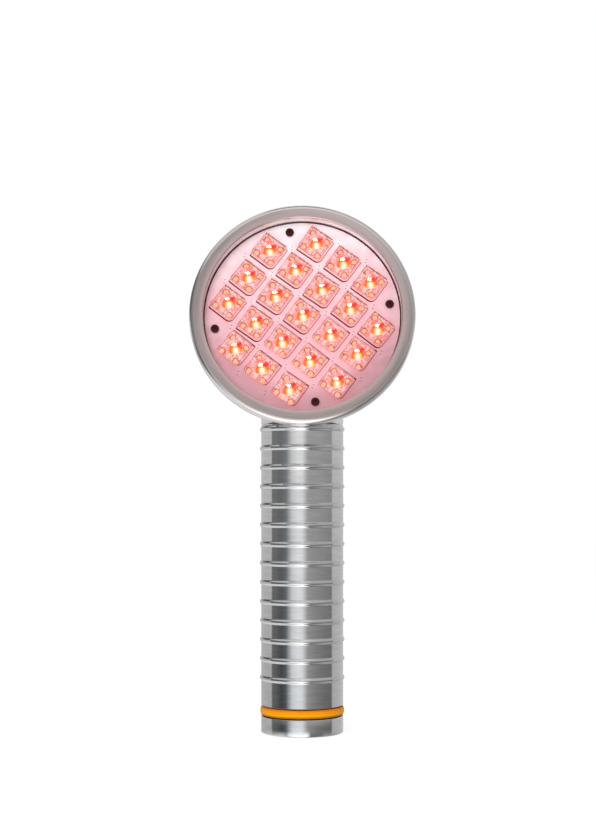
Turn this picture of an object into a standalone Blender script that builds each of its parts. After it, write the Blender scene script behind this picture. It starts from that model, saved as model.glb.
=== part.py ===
"""Hand-held LED light therapy lamp.

A round lamp head full of clear square LEDs sits, tilted a little back, on a straight
ribbed tube. The tube holds a round cell and a driver board, and an end cap with a seal
ring closes its lower end. Lengths are in metres. +Z runs up the handle from the middle
of the cap's lower face, and the LED face looks towards -Y.
"""

import math
import random

import bmesh
import bpy
from mathutils import Euler, Matrix, Vector

# Counts and roundness
FULL_TURN = 2 * math.pi
QUARTER_TURN = math.pi / 2
HEAD_SEGMENTS = 40
HANDLE_SEGMENTS = 30
SMALL_SEGMENTS = 18
DOME_SEGMENTS = 12
SCREW_SEGMENTS = 10
BOWL_STEPS = 7
DOME_STEPS = 3
ROUNDING_STEPS = 3
SMOOTH_ANGLE = math.radians(32)
MERGE_DISTANCE = 0.00001

# Clearances
ASSEMBLY_GAP = 0.0003
THREAD_CLEARANCE = 0.0003
CUT_OVERRUN = 0.001

# End cap
CAP_SKIRT_HEIGHT = 0.0053
CAP_CHAMFER = 0.0005
CAP_SHOULDER_CHAMFER = 0.0002
CAP_FLOOR = 0.0022
CAP_SPIGOT_LENGTH = 0.0077

# Seal ring
SEAL_HEIGHT = 0.00255
SEAL_BULGE = 0.00025
SEAL_EDGE_ROUND = 0.00035

# Handle tube
TUBE_WALL = 0.0022
SPIGOT_WALL = 0.0014
TUBE_EDGE_CHAMFER = 0.0002
PLAIN_LENGTH = 0.008
RIB_PITCH = 0.005884
RIB_HEIGHT = 0.0004
RIB_WIDTH = 0.0017
RIB_CREST_SHARE = 0.35
LAST_RIB_MARGIN = 0.00136

# Flat control pad milled on the back of the tube
PAD_DEPTH = 0.0009
PAD_WIDTH = 0.012
PAD_MARGIN = 0.0059
BUTTON_DROP = 0.0009
SOCKET_SPACING = 0.01177

# Cell and its contacts
CELL_RADIUS = 0.0085
CELL_LENGTH = 0.050
CELL_NUB_RADIUS = 0.00275
CELL_NUB_HEIGHT = 0.001
CELL_EDGE_CHAMFER = 0.0005
CONTACT_RADIUS = 0.007
CONTACT_THICKNESS = 0.0008
CONTACT_BOSS_RADIUS = 0.0022
CONTACT_BOSS_HEIGHT = 0.0006
SLEEVE_OVERHANG = 0.0015
SPRING_HEIGHT = 0.005
SPRING_RADIUS = 0.0024
SPRING_WIRE_RADIUS = 0.0003
SPRING_TURNS = 4
SPRING_POINTS_PER_TURN = 10
PLATE_RADIUS = 0.005
PLATE_THICKNESS = 0.0006
CARRIER_THICKNESS = 0.0025

# Push switch and button, from the pad inwards
COLLAR_WALL = 0.0004
COLLAR_LIP_WIDTH = 0.0006
COLLAR_LIP_HEIGHT = 0.0004
COLLAR_DEPTH = 0.0011
BUTTON_RADIUS = 0.0032
BUTTON_PROUD = 0.0005
BUTTON_EDGE_ROUND = 0.0006
BUTTON_FLANGE_WIDTH = 0.0007
BUTTON_FLANGE_THICKNESS = 0.0007
BUTTON_STEM_RADIUS = 0.0015
BUTTON_STEM_LENGTH = 0.0008
BUTTON_TRAVEL = 0.0005
PLUNGER_RADIUS = 0.0017
PLUNGER_PROUD = 0.0008
PLUNGER_SEAT = 0.0007
SWITCH_WIDTH = 0.006
SWITCH_HEIGHT = 0.0033

# Driver board and what stands on it
DRIVER_WIDTH = 0.016
DRIVER_THICKNESS = 0.0012
SOCKET_BODY_WIDTH = 0.0072
SOCKET_BODY_HEIGHT = 0.008
SOCKET_BODY_DEPTH = 0.005
SOCKET_NOSE_RADIUS = 0.003
SOCKET_BORE_RADIUS = 0.00175
SOCKET_BORE_DEPTH = 0.0065
SOCKET_PIN_RADIUS = 0.00055
SOCKET_PIN_RECESS = 0.001
CHIP_WIDTH = 0.006
CHIP_THICKNESS = 0.0011
CHIP_CHAMFER = 0.0001
CHIP_DROP = 0.0092
ROW_GAP = 0.0017
DRIVER_FOOT = 0.0026
INDUCTOR_RADIUS = 0.0031
INDUCTOR_CORE_RADIUS = 0.0022
INDUCTOR_HEIGHT = 0.004
INDUCTOR_FLANGE = 0.0009
CAPACITOR_RADIUS = 0.002
CAPACITOR_LENGTH = 0.0055
CAPACITOR_EDGE_CHAMFER = 0.0003
CAPACITOR_SPACING = 0.0052
COMPONENT_OFFSET = 0.0042

# Lamp head, measured from the middle of the bezel's front face
HEAD_TILT = math.radians(9)
HEAD_OVERHANG = 0.00093
HEAD_FORWARD = 0.019
BEZEL_BAND = 0.00415
BEZEL_ROUNDING = 0.0015
BEZEL_LIP_CHAMFER = 0.0003
BEZEL_FLANGE = 0.003
BEZEL_BACK_CHAMFER = 0.00025
BEZEL_SPIGOT_WALL = 0.0013
BEZEL_SPIGOT_LENGTH = 0.0033
GASKET_THICKNESS = 0.0006
SHELL_MOUTH_WALL = 0.0014
SHELL_WALL = 0.0018
SHELL_SKIRT = 0.0013
SHELL_EDGE_CHAMFER = 0.0002
BOWL_DEPTH = 0.022
BOWL_EXPONENT = 1.6
NECK_STRAIGHT = 0.0048
NECK_DOME_HEIGHT = 0.018
NECK_SPIGOT_LENGTH = 0.0057
NECK_BORE_RISE = 0.0128

# LED board, its screws and the LEDs
BOARD_RECESS = 0.0043
BOARD_THICKNESS = 0.0016
BOARD_MARGIN = 0.00133
BOARD_EDGE_GAP = 0.0004
POST_MARGIN = 0.00275
POST_RADIUS = 0.0024
POST_TURN = math.radians(8.3)
SCREW_COUNT = 4
SCREW_HEAD_RADIUS = 0.00125
SCREW_HEAD_HEIGHT = 0.0006
SCREW_SHANK_RADIUS = 0.0008
SCREW_LENGTH = 0.0065
SCREW_SOCKET_RADIUS = 0.0006
SCREW_SOCKET_DEPTH = 0.00035
SCREW_SOCKET_SIDES = 6
LED_PITCH = 0.01016
LED_WIDTH = 0.0076
LED_BODY_HEIGHT = 0.0027
LED_DOME_RADIUS = 0.0024
LED_DOME_HEIGHT = 0.0019
LED_CORNER_CUT = 0.0012
LED_GRID_REACH = 2
LED_PLACE_TOLERANCE = 0.0002
LED_TURN_TOLERANCE = math.radians(2)
LED_SEED = 11

# Leads between the boards; the shares run from the driver board's pad to the LED board
LEAD_RADIUS = 0.0006
LEAD_SPREAD = 0.003
LEAD_PAD_DROP = 0.0025
LEAD_END_DROP = 0.008
LEAD_STEPS = 2
LEAD_ROUTE_SHARES = (
    (0.00, 0.000),
    (0.10, 0.010),
    (0.17, 0.060),
    (0.20, 0.200),
    (0.25, 0.400),
    (0.33, 0.600),
    (0.45, 0.780),
    (0.62, 0.910),
    (0.80, 0.975),
    (0.92, 0.992),
    (1.00, 1.000),
)

# Radii of the handle, from the cell outwards
CELL_BORE = CELL_RADIUS + ASSEMBLY_GAP
SPIGOT_RADIUS = CELL_BORE + SPIGOT_WALL
TUBE_BORE = SPIGOT_RADIUS + THREAD_CLEARANCE
TUBE_RADIUS = TUBE_BORE + TUBE_WALL

# Radii of the head, from the grid of LEDs outwards
LED_GRID_EDGE = LED_GRID_REACH * LED_PITCH + LED_WIDTH / 2
LED_GRID_RADIUS = math.hypot(LED_GRID_EDGE, LED_GRID_EDGE - LED_PITCH)
BOARD_RADIUS = LED_GRID_RADIUS + BOARD_MARGIN
POST_CIRCLE = BOARD_RADIUS - POST_MARGIN
BEZEL_APERTURE = BOARD_RADIUS + BOARD_EDGE_GAP
BEZEL_RADIUS = BEZEL_APERTURE + BEZEL_BAND
BEZEL_SPIGOT_RADIUS = BEZEL_APERTURE + BEZEL_SPIGOT_WALL
SHELL_SEAT_RADIUS = BEZEL_SPIGOT_RADIUS + THREAD_CLEARANCE
SHELL_RADIUS = SHELL_SEAT_RADIUS + SHELL_MOUTH_WALL
SCREW_HOLE_RADIUS = SCREW_SHANK_RADIUS + ASSEMBLY_GAP

# Heights up the handle
SEAL_BASE = CAP_SKIRT_HEIGHT + ASSEMBLY_GAP
TUBE_BASE = SEAL_BASE + SEAL_HEIGHT + ASSEMBLY_GAP
CAP_TOP = CAP_SKIRT_HEIGHT + CAP_SPIGOT_LENGTH
CONTACT_BASE = CAP_FLOOR + ASSEMBLY_GAP
CELL_BASE = CONTACT_BASE + CONTACT_THICKNESS + CONTACT_BOSS_HEIGHT + ASSEMBLY_GAP
CELL_TOP = CELL_BASE + CELL_LENGTH
SPRING_BASE = CELL_TOP + ASSEMBLY_GAP
PLATE_BASE = SPRING_BASE + SPRING_HEIGHT + ASSEMBLY_GAP
CARRIER_BASE = PLATE_BASE + PLATE_THICKNESS + ASSEMBLY_GAP
DRIVER_BASE = CARRIER_BASE + CARRIER_THICKNESS + ASSEMBLY_GAP
CAPACITOR_LOW = DRIVER_BASE + DRIVER_FOOT + CAPACITOR_RADIUS
CAPACITOR_HIGH = CAPACITOR_LOW + CAPACITOR_SPACING
CHIP_HEIGHT = CAPACITOR_HIGH + CAPACITOR_RADIUS + ROW_GAP + CHIP_WIDTH / 2
DRIVER_TOP = CHIP_HEIGHT + CHIP_DROP
NECK_SPIGOT_BASE = DRIVER_TOP + ASSEMBLY_GAP
NECK_BASE = NECK_SPIGOT_BASE + NECK_SPIGOT_LENGTH
TUBE_TOP = NECK_BASE - ASSEMBLY_GAP
LAST_RIB = TUBE_TOP - LAST_RIB_MARGIN
RIB_COUNT = 1 + int((LAST_RIB - TUBE_BASE - PLAIN_LENGTH) / RIB_PITCH)
HEAD_HEIGHT = TUBE_TOP + BEZEL_RADIUS * math.cos(HEAD_TILT) - HEAD_OVERHANG

# Depths along the back axis, from the handle's axis towards the pad
PAD_SURFACE = TUBE_RADIUS - PAD_DEPTH
COLLAR_RADIUS = BUTTON_RADIUS + ASSEMBLY_GAP
COLLAR_TOP = PAD_SURFACE + ASSEMBLY_GAP + COLLAR_LIP_HEIGHT
COLLAR_HOLE_RADIUS = COLLAR_RADIUS + COLLAR_WALL + ASSEMBLY_GAP
FLANGE_RADIUS = BUTTON_RADIUS + BUTTON_FLANGE_WIDTH
BUTTON_HEIGHT = NECK_SPIGOT_BASE - BUTTON_DROP - FLANGE_RADIUS
SOCKET_HEIGHT = BUTTON_HEIGHT - SOCKET_SPACING
FLANGE_TOP = math.sqrt(TUBE_BORE ** 2 - FLANGE_RADIUS ** 2) - ASSEMBLY_GAP
STEM_END = FLANGE_TOP - BUTTON_FLANGE_THICKNESS - BUTTON_STEM_LENGTH
PLUNGER_TOP = STEM_END - ASSEMBLY_GAP
SWITCH_TOP = PLUNGER_TOP - PLUNGER_PROUD
SWITCH_BASE = SWITCH_TOP - SWITCH_HEIGHT
DRIVER_BACK = SWITCH_BASE - ASSEMBLY_GAP
DRIVER_FRONT = DRIVER_BACK - DRIVER_THICKNESS

# Depths behind the bezel's front face
GASKET_DEPTH = BEZEL_FLANGE + ASSEMBLY_GAP
MOUTH_DEPTH = GASKET_DEPTH + GASKET_THICKNESS + ASSEMBLY_GAP
BOWL_START = MOUTH_DEPTH + SHELL_SKIRT
SEAT_DEPTH = BEZEL_FLANGE + BEZEL_SPIGOT_LENGTH + ASSEMBLY_GAP
LED_SEAT_DEPTH = BOARD_RECESS - ASSEMBLY_GAP
BOARD_BACK_DEPTH = BOARD_RECESS + BOARD_THICKNESS
POST_TOP_DEPTH = BOARD_BACK_DEPTH + ASSEMBLY_GAP

PARTS = "led_therapy_lamp"
CUTTERS = "cutting_tools"

FINISHES = {
    "satin_ring": ((0.62, 0.59, 0.57), 0.30, 1.0),
    "satin_shell": ((0.60, 0.59, 0.58), 0.32, 1.0),
    "ribbed_tube": ((0.58, 0.58, 0.58), 0.26, 1.0),
    "cap_metal": ((0.56, 0.56, 0.56), 0.26, 1.0),
    "orange_rubber": ((1.00, 0.42, 0.02), 0.45, 0.0),
    "white_board": ((0.92, 0.84, 0.86), 0.50, 0.0),
    "clear_epoxy": ((1.00, 0.66, 0.56), 0.08, 0.0),
    "black_steel": ((0.05, 0.04, 0.04), 0.40, 1.0),
    "black_rubber": ((0.03, 0.03, 0.03), 0.60, 0.0),
    "brass": ((0.80, 0.62, 0.30), 0.30, 1.0),
    "blue_wrap": ((0.10, 0.25, 0.50), 0.35, 0.0),
    "grey_liner": ((0.75, 0.75, 0.72), 0.60, 0.0),
    "spring_steel": ((0.65, 0.65, 0.66), 0.25, 1.0),
    "green_board": ((0.03, 0.22, 0.10), 0.45, 0.0),
    "black_moulding": ((0.04, 0.04, 0.045), 0.45, 0.0),
    "ferrite": ((0.12, 0.12, 0.13), 0.70, 0.0),
    "bare_can": ((0.72, 0.73, 0.75), 0.28, 1.0),
    "cream_plastic": ((0.80, 0.76, 0.66), 0.50, 0.0),
    "soft_button": ((0.10, 0.10, 0.105), 0.55, 0.0),
    "red_insulation": ((0.65, 0.03, 0.02), 0.45, 0.0),
    "black_insulation": ((0.03, 0.03, 0.03), 0.45, 0.0),
}


def clear_scene():
    """Remove every object of the opening scene."""
    for obj in list(bpy.data.objects):
        bpy.data.objects.remove(obj, do_unlink=True)


def make_collection(name):
    """Add a collection to the scene."""
    collection = bpy.data.collections.new(name)
    bpy.context.scene.collection.children.link(collection)
    return collection


def make_finish(piece_name, finish):
    """Make one piece's own material from a row of the finish table."""
    colour, roughness, metallic = FINISHES[finish]
    material = bpy.data.materials.new(piece_name + "_finish")
    material.use_nodes = True
    shader = material.node_tree.nodes["Principled BSDF"]
    shader.inputs["Base Color"].default_value = (*colour, 1)
    shader.inputs["Roughness"].default_value = roughness
    shader.inputs["Metallic"].default_value = metallic
    material.diffuse_color = (*colour, 1)
    return material


def add_object(name, data, collection, parent=None):
    """Link a new object, carried by its axis where it has one."""
    obj = bpy.data.objects.new(name, data)
    bpy.data.collections[collection].objects.link(obj)
    if parent is not None:
        obj.parent = parent
    if collection == CUTTERS:
        obj.hide_render = True
        obj.display_type = "WIRE"
    return obj


def make_axis(name, location, rotation):
    """Add an empty whose local Z is the axis that its pieces are turned about."""
    axis = bpy.data.objects.new(name, None)
    axis.location = location
    axis.rotation_euler = rotation
    axis.empty_display_type = "ARROWS"
    axis.empty_display_size = TUBE_RADIUS
    bpy.data.collections[PARTS].objects.link(axis)
    return axis


def evaluated_mesh(obj):
    """Return the object's mesh with its modifiers applied."""
    bpy.context.view_layer.update()
    graph = bpy.context.evaluated_depsgraph_get()
    return bpy.data.meshes.new_from_object(obj.evaluated_get(graph))


def settle(obj, finish=None):
    """Apply the modifiers, shade the round faces smooth and give the piece its finish."""
    mesh = evaluated_mesh(obj)
    mesh.name = obj.name
    obj.modifiers.clear()
    obj.data = mesh
    mesh.shade_smooth()
    mesh.set_sharp_from_angle(angle=SMOOTH_ANGLE)
    if finish is not None:
        mesh.materials.clear()
        mesh.materials.append(make_finish(obj.name, finish))
    return obj


def turned(name, outline, segments, closed, collection=PARTS, parent=None):
    """Turn an outline of (radius, height) points about the local Z axis.

    An outline runs down its outer side. A closed one makes a ring, and an open one
    begins and ends on the axis.
    """
    mesh = bpy.data.meshes.new(name)
    points = [(radius, 0, height) for radius, height in outline]
    edges = [(index, index + 1) for index in range(len(points) - 1)]
    if closed:
        edges.append((len(points) - 1, 0))
    mesh.from_pydata(points, edges, [])
    obj = add_object(name, mesh, collection, parent)
    screw = obj.modifiers.new("Turn", "SCREW")
    screw.axis = "Z"
    screw.angle = FULL_TURN
    screw.steps = segments
    screw.render_steps = segments
    screw.use_merge_vertices = True
    screw.merge_threshold = MERGE_DISTANCE
    return obj


def rod(name, radius, low, high, segments, collection=PARTS, parent=None):
    """Add a plain cylinder along the local Z axis between two heights."""
    mesh = bpy.data.meshes.new(name)
    shape = bmesh.new()
    bmesh.ops.create_cone(
        shape,
        cap_ends=True,
        segments=segments,
        radius1=radius,
        radius2=radius,
        depth=high - low,
        matrix=Matrix.Translation((0, 0, (low + high) / 2)),
    )
    shape.to_mesh(mesh)
    shape.free()
    return add_object(name, mesh, collection, parent)


def block(name, low, high, collection=PARTS, parent=None):
    """Add a box between two opposite corners."""
    low = Vector(low)
    high = Vector(high)
    size = high - low
    mesh = bpy.data.meshes.new(name)
    shape = bmesh.new()
    bmesh.ops.create_cube(shape, size=1)
    for vertex in shape.verts:
        vertex.co = (low + high) / 2 + Vector(a * b for a, b in zip(vertex.co, size))
    shape.to_mesh(mesh)
    shape.free()
    return add_object(name, mesh, collection, parent)


def bevelled_block(name, low, high, width, parent=None):
    """Add a box whose edges have a small chamfer."""
    obj = block(name, low, high, parent=parent)
    bevel = obj.modifiers.new("Chamfer", "BEVEL")
    bevel.width = width
    bevel.segments = 1
    return obj


def extruded(name, outline, low, high, collection=PARTS, parent=None):
    """Extrude a flat outline along the local Z axis between two heights."""
    curve = bpy.data.curves.new(name, "CURVE")
    curve.dimensions = "2D"
    curve.fill_mode = "BOTH"
    curve.extrude = (high - low) / 2
    spline = curve.splines.new("POLY")
    spline.points.add(len(outline) - 1)
    for point, (x, y) in zip(spline.points, outline):
        point.co = (x, y, 0, 1)
    spline.use_cyclic_u = True
    draft = add_object(name + "_outline", curve, collection)
    mesh = welded_mesh(draft)
    mesh.transform(Matrix.Translation((0, 0, (low + high) / 2)))
    bpy.data.objects.remove(draft, do_unlink=True)
    return add_object(name, mesh, collection, parent)


def welded_mesh(draft):
    """Make a curve object's mesh, with its loose caps welded."""
    mesh = evaluated_mesh(draft)
    shape = bmesh.new()
    shape.from_mesh(mesh)
    bmesh.ops.remove_doubles(shape, verts=shape.verts, dist=MERGE_DISTANCE)
    bmesh.ops.recalc_face_normals(shape, faces=shape.faces)
    shape.to_mesh(mesh)
    shape.free()
    return mesh


def wire(name, points, radius, finish):
    """Run a round wire with closed ends through the points."""
    curve = bpy.data.curves.new(name, "CURVE")
    curve.dimensions = "3D"
    curve.bevel_depth = radius
    curve.bevel_resolution = 1
    curve.use_fill_caps = True
    spline = curve.splines.new("POLY")
    spline.points.add(len(points) - 1)
    for point, place in zip(spline.points, points):
        point.co = (*place, 1)
    draft = add_object(name + "_path", curve, PARTS)
    mesh = welded_mesh(draft)
    bpy.data.objects.remove(draft, do_unlink=True)
    return settle(add_object(name, mesh, PARTS), finish)


def combine(target, tool, operation):
    """Add one Boolean of the tool to the target."""
    modifier = target.modifiers.new(operation.title(), "BOOLEAN")
    modifier.operation = operation
    modifier.solver = "EXACT"
    modifier.object = tool
    return target


def cut(target, *tools):
    """Cut each tool out of the target."""
    for tool in tools:
        combine(target, tool, "DIFFERENCE")
    return target


def arc(centre_radius, centre_height, radius, start, stop, steps):
    """List points of an arc in a turned outline, its angle measured from +X."""
    points = []
    for step in range(steps + 1):
        angle = start + (stop - start) * step / steps
        point = (centre_radius + radius * math.cos(angle), centre_height + radius * math.sin(angle))
        points.append(point)
    return points


def bowl_outline(radius, depth):
    """List the bowl's outline, from its edge down to its middle."""
    power = 2 / BOWL_EXPONENT
    points = []
    for step in range(1, BOWL_STEPS):
        angle = QUARTER_TURN * step / BOWL_STEPS
        across = radius * math.cos(angle) ** power
        along = depth * math.sin(angle) ** power
        points.append((across, -BOWL_START - along))
    points.append((0, -BOWL_START - depth))
    return points


def circle_place(index):
    """Place of one board screw in the plane of the face."""
    angle = POST_TURN + FULL_TURN * index / SCREW_COUNT
    return Vector((POST_CIRCLE * math.cos(angle), POST_CIRCLE * math.sin(angle), 0))


def make_end_cap():
    """Cup-shaped cap with a hollow spigot that screws into the tube."""
    outline = [
        (0, CAP_FLOOR),
        (CELL_BORE, CAP_FLOOR),
        (CELL_BORE, CAP_TOP),
        (SPIGOT_RADIUS, CAP_TOP),
        (SPIGOT_RADIUS, CAP_SKIRT_HEIGHT),
        (TUBE_RADIUS - CAP_SHOULDER_CHAMFER, CAP_SKIRT_HEIGHT),
        (TUBE_RADIUS, CAP_SKIRT_HEIGHT - CAP_SHOULDER_CHAMFER),
        (TUBE_RADIUS, CAP_CHAMFER),
        (TUBE_RADIUS - CAP_CHAMFER, 0),
        (0, 0),
    ]
    settle(turned("end_cap", outline, HANDLE_SEGMENTS, closed=False), "cap_metal")


def make_cap_contact():
    """Brass disc with a raised boss under the cell."""
    disc_top = CONTACT_BASE + CONTACT_THICKNESS
    boss_top = disc_top + CONTACT_BOSS_HEIGHT
    outline = [
        (0, boss_top),
        (CONTACT_BOSS_RADIUS, boss_top),
        (CONTACT_BOSS_RADIUS + CONTACT_BOSS_HEIGHT, disc_top),
        (CONTACT_RADIUS, disc_top),
        (CONTACT_RADIUS, CONTACT_BASE),
        (0, CONTACT_BASE),
    ]
    settle(turned("cap_contact", outline, SMALL_SEGMENTS, closed=False), "brass")


def make_seal_ring():
    """Seal between cap and tube, bulging a little past both."""
    bulge_radius = TUBE_RADIUS + SEAL_BULGE
    edge_radius = TUBE_RADIUS - SEAL_EDGE_ROUND
    top = SEAL_BASE + SEAL_HEIGHT
    outline = [
        (TUBE_BORE, top),
        (edge_radius, top),
        (TUBE_RADIUS, top - SEAL_EDGE_ROUND),
        (bulge_radius, (top + SEAL_BASE) / 2 + SEAL_EDGE_ROUND),
        (bulge_radius, (top + SEAL_BASE) / 2 - SEAL_EDGE_ROUND),
        (TUBE_RADIUS, SEAL_BASE + SEAL_EDGE_ROUND),
        (edge_radius, SEAL_BASE),
        (TUBE_BORE, SEAL_BASE),
    ]
    settle(turned("seal_ring", outline, HANDLE_SEGMENTS, closed=True), "orange_rubber")


def tube_outline():
    """Closed outline of the tube's wall with its ribs."""
    half_rib = RIB_WIDTH / 2
    half_crest = half_rib * RIB_CREST_SHARE
    crest_radius = TUBE_RADIUS + RIB_HEIGHT
    outline = [
        (TUBE_BORE, TUBE_TOP),
        (TUBE_RADIUS - TUBE_EDGE_CHAMFER, TUBE_TOP),
        (TUBE_RADIUS, TUBE_TOP - TUBE_EDGE_CHAMFER),
    ]
    for index in range(RIB_COUNT):
        middle = LAST_RIB - index * RIB_PITCH
        outline += [
            (TUBE_RADIUS, middle + half_rib),
            (crest_radius, middle + half_crest),
            (crest_radius, middle - half_crest),
            (TUBE_RADIUS, middle - half_rib),
        ]
    outline += [
        (TUBE_RADIUS, TUBE_BASE + TUBE_EDGE_CHAMFER),
        (TUBE_RADIUS - TUBE_EDGE_CHAMFER, TUBE_BASE),
        (TUBE_BORE, TUBE_BASE),
    ]
    return outline


def make_handle_tube(button_axis, socket_axis):
    """Ribbed tube with a flat pad on its back, a button hole and a socket hole."""
    tube = turned("handle_tube", tube_outline(), HANDLE_SEGMENTS, closed=True)
    reach = TUBE_RADIUS + RIB_HEIGHT + CUT_OVERRUN
    pad = block(
        "pad_cutter",
        (-PAD_WIDTH / 2, PAD_SURFACE, SOCKET_HEIGHT - PAD_MARGIN),
        (PAD_WIDTH / 2, reach, BUTTON_HEIGHT + PAD_MARGIN),
        collection=CUTTERS,
    )
    button_hole = rod(
        "button_hole_cutter",
        COLLAR_HOLE_RADIUS,
        TUBE_BORE / 2,
        reach,
        SMALL_SEGMENTS,
        collection=CUTTERS,
        parent=button_axis,
    )
    socket_hole = rod(
        "socket_hole_cutter",
        SOCKET_NOSE_RADIUS + ASSEMBLY_GAP,
        TUBE_BORE / 2,
        reach,
        SMALL_SEGMENTS,
        collection=CUTTERS,
        parent=socket_axis,
    )
    settle(cut(tube, pad, button_hole, socket_hole), "ribbed_tube")


def make_cell():
    """Round cell with its raised pole."""
    body_top = CELL_TOP - CELL_NUB_HEIGHT
    outline = [
        (0, CELL_TOP),
        (CELL_NUB_RADIUS, CELL_TOP),
        (CELL_NUB_RADIUS, body_top),
        (CELL_RADIUS - CELL_EDGE_CHAMFER, body_top),
        (CELL_RADIUS, body_top - CELL_EDGE_CHAMFER),
        (CELL_RADIUS, CELL_BASE + CELL_EDGE_CHAMFER),
        (CELL_RADIUS - CELL_EDGE_CHAMFER, CELL_BASE),
        (0, CELL_BASE),
    ]
    settle(turned("battery_cell", outline, SMALL_SEGMENTS, closed=False), "blue_wrap")


def make_cell_sleeve():
    """Insulating liner between the cell and the tube."""
    base = CAP_TOP + ASSEMBLY_GAP
    top = CELL_TOP + SLEEVE_OVERHANG
    outline = [
        (CELL_BORE, top),
        (SPIGOT_RADIUS, top),
        (SPIGOT_RADIUS, base),
        (CELL_BORE, base),
    ]
    settle(turned("cell_sleeve", outline, HANDLE_SEGMENTS, closed=True), "grey_liner")


def make_upper_contacts():
    """Coil spring on the cell's pole, its brass plate and the plate's carrier."""
    rise = SPRING_HEIGHT - 2 * SPRING_WIRE_RADIUS
    last = SPRING_TURNS * SPRING_POINTS_PER_TURN
    points = []
    for step in range(last + 1):
        angle = FULL_TURN * step / SPRING_POINTS_PER_TURN
        height = SPRING_BASE + SPRING_WIRE_RADIUS + rise * step / last
        points.append((SPRING_RADIUS * math.cos(angle), SPRING_RADIUS * math.sin(angle), height))
    wire("contact_spring", points, SPRING_WIRE_RADIUS, "spring_steel")
    plate_top = PLATE_BASE + PLATE_THICKNESS
    plate = rod("contact_plate", PLATE_RADIUS, PLATE_BASE, plate_top, SMALL_SEGMENTS)
    settle(plate, "brass")
    carrier_top = CARRIER_BASE + CARRIER_THICKNESS
    carrier = rod("contact_carrier", SPIGOT_RADIUS, CARRIER_BASE, carrier_top, HANDLE_SEGMENTS)
    settle(carrier, "black_moulding")


def make_driver_board():
    """Upright circuit board between the contact carrier and the neck."""
    board = block(
        "driver_board",
        (-DRIVER_WIDTH / 2, DRIVER_FRONT, DRIVER_BASE),
        (DRIVER_WIDTH / 2, DRIVER_BACK, DRIVER_TOP),
    )
    settle(board, "green_board")


def front_axis(name, across, height):
    """Axis that stands out of the driver board's front face, towards -Y."""
    seat = DRIVER_FRONT - ASSEMBLY_GAP
    return make_axis(name, (across, seat, height), Euler((QUARTER_TURN, 0, 0)))


def make_controller_chip():
    """Flat chip on the front of the driver board."""
    axis = front_axis("chip_axis", 0, CHIP_HEIGHT)
    half = CHIP_WIDTH / 2
    top = (half, half, CHIP_THICKNESS)
    chip = bevelled_block("controller_chip", (-half, -half, 0), top, CHIP_CHAMFER, axis)
    settle(chip, "black_moulding")


def make_power_inductor():
    """Drum core with two flanges."""
    axis = front_axis("inductor_axis", -COMPONENT_OFFSET, (CAPACITOR_LOW + CAPACITOR_HIGH) / 2)
    outline = [
        (0, INDUCTOR_HEIGHT),
        (INDUCTOR_RADIUS, INDUCTOR_HEIGHT),
        (INDUCTOR_RADIUS, INDUCTOR_HEIGHT - INDUCTOR_FLANGE),
        (INDUCTOR_CORE_RADIUS, INDUCTOR_HEIGHT - INDUCTOR_FLANGE),
        (INDUCTOR_CORE_RADIUS, INDUCTOR_FLANGE),
        (INDUCTOR_RADIUS, INDUCTOR_FLANGE),
        (INDUCTOR_RADIUS, 0),
        (0, 0),
    ]
    settle(turned("power_inductor", outline, SMALL_SEGMENTS, closed=False, parent=axis), "ferrite")


def make_capacitor(name, height):
    """Round metal can on the front of the driver board."""
    axis = front_axis(name + "_axis", COMPONENT_OFFSET, height)
    outline = [
        (0, CAPACITOR_LENGTH),
        (CAPACITOR_RADIUS - CAPACITOR_EDGE_CHAMFER, CAPACITOR_LENGTH),
        (CAPACITOR_RADIUS, CAPACITOR_LENGTH - CAPACITOR_EDGE_CHAMFER),
        (CAPACITOR_RADIUS, 0),
        (0, 0),
    ]
    settle(turned(name, outline, DOME_SEGMENTS, closed=False, parent=axis), "bare_can")


def make_charge_socket(axis):
    """Charging inlet: a body on the board, and a round nose with a centre pin."""
    half_width = SOCKET_BODY_WIDTH / 2
    half_height = SOCKET_BODY_HEIGHT / 2
    base = DRIVER_BACK + ASSEMBLY_GAP
    body_top = base + SOCKET_BODY_DEPTH
    socket = block(
        "charge_socket",
        (-half_width, -half_height, base),
        (half_width, half_height, body_top),
        parent=axis,
    )
    nose = rod(
        "socket_nose_tool",
        SOCKET_NOSE_RADIUS,
        body_top - CUT_OVERRUN,
        PAD_SURFACE,
        SMALL_SEGMENTS,
        collection=CUTTERS,
        parent=axis,
    )
    bore_floor = PAD_SURFACE - SOCKET_BORE_DEPTH
    pin_top = PAD_SURFACE - SOCKET_PIN_RECESS
    opening = PAD_SURFACE + CUT_OVERRUN
    outline = [
        (0, opening),
        (SOCKET_BORE_RADIUS, opening),
        (SOCKET_BORE_RADIUS, bore_floor),
        (SOCKET_PIN_RADIUS, bore_floor),
        (SOCKET_PIN_RADIUS, pin_top),
        (0, pin_top),
    ]
    bore = turned(
        "socket_bore_cutter", outline, SMALL_SEGMENTS, closed=False, collection=CUTTERS, parent=axis
    )
    combine(socket, nose, "UNION")
    settle(cut(socket, bore), "black_moulding")


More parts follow.
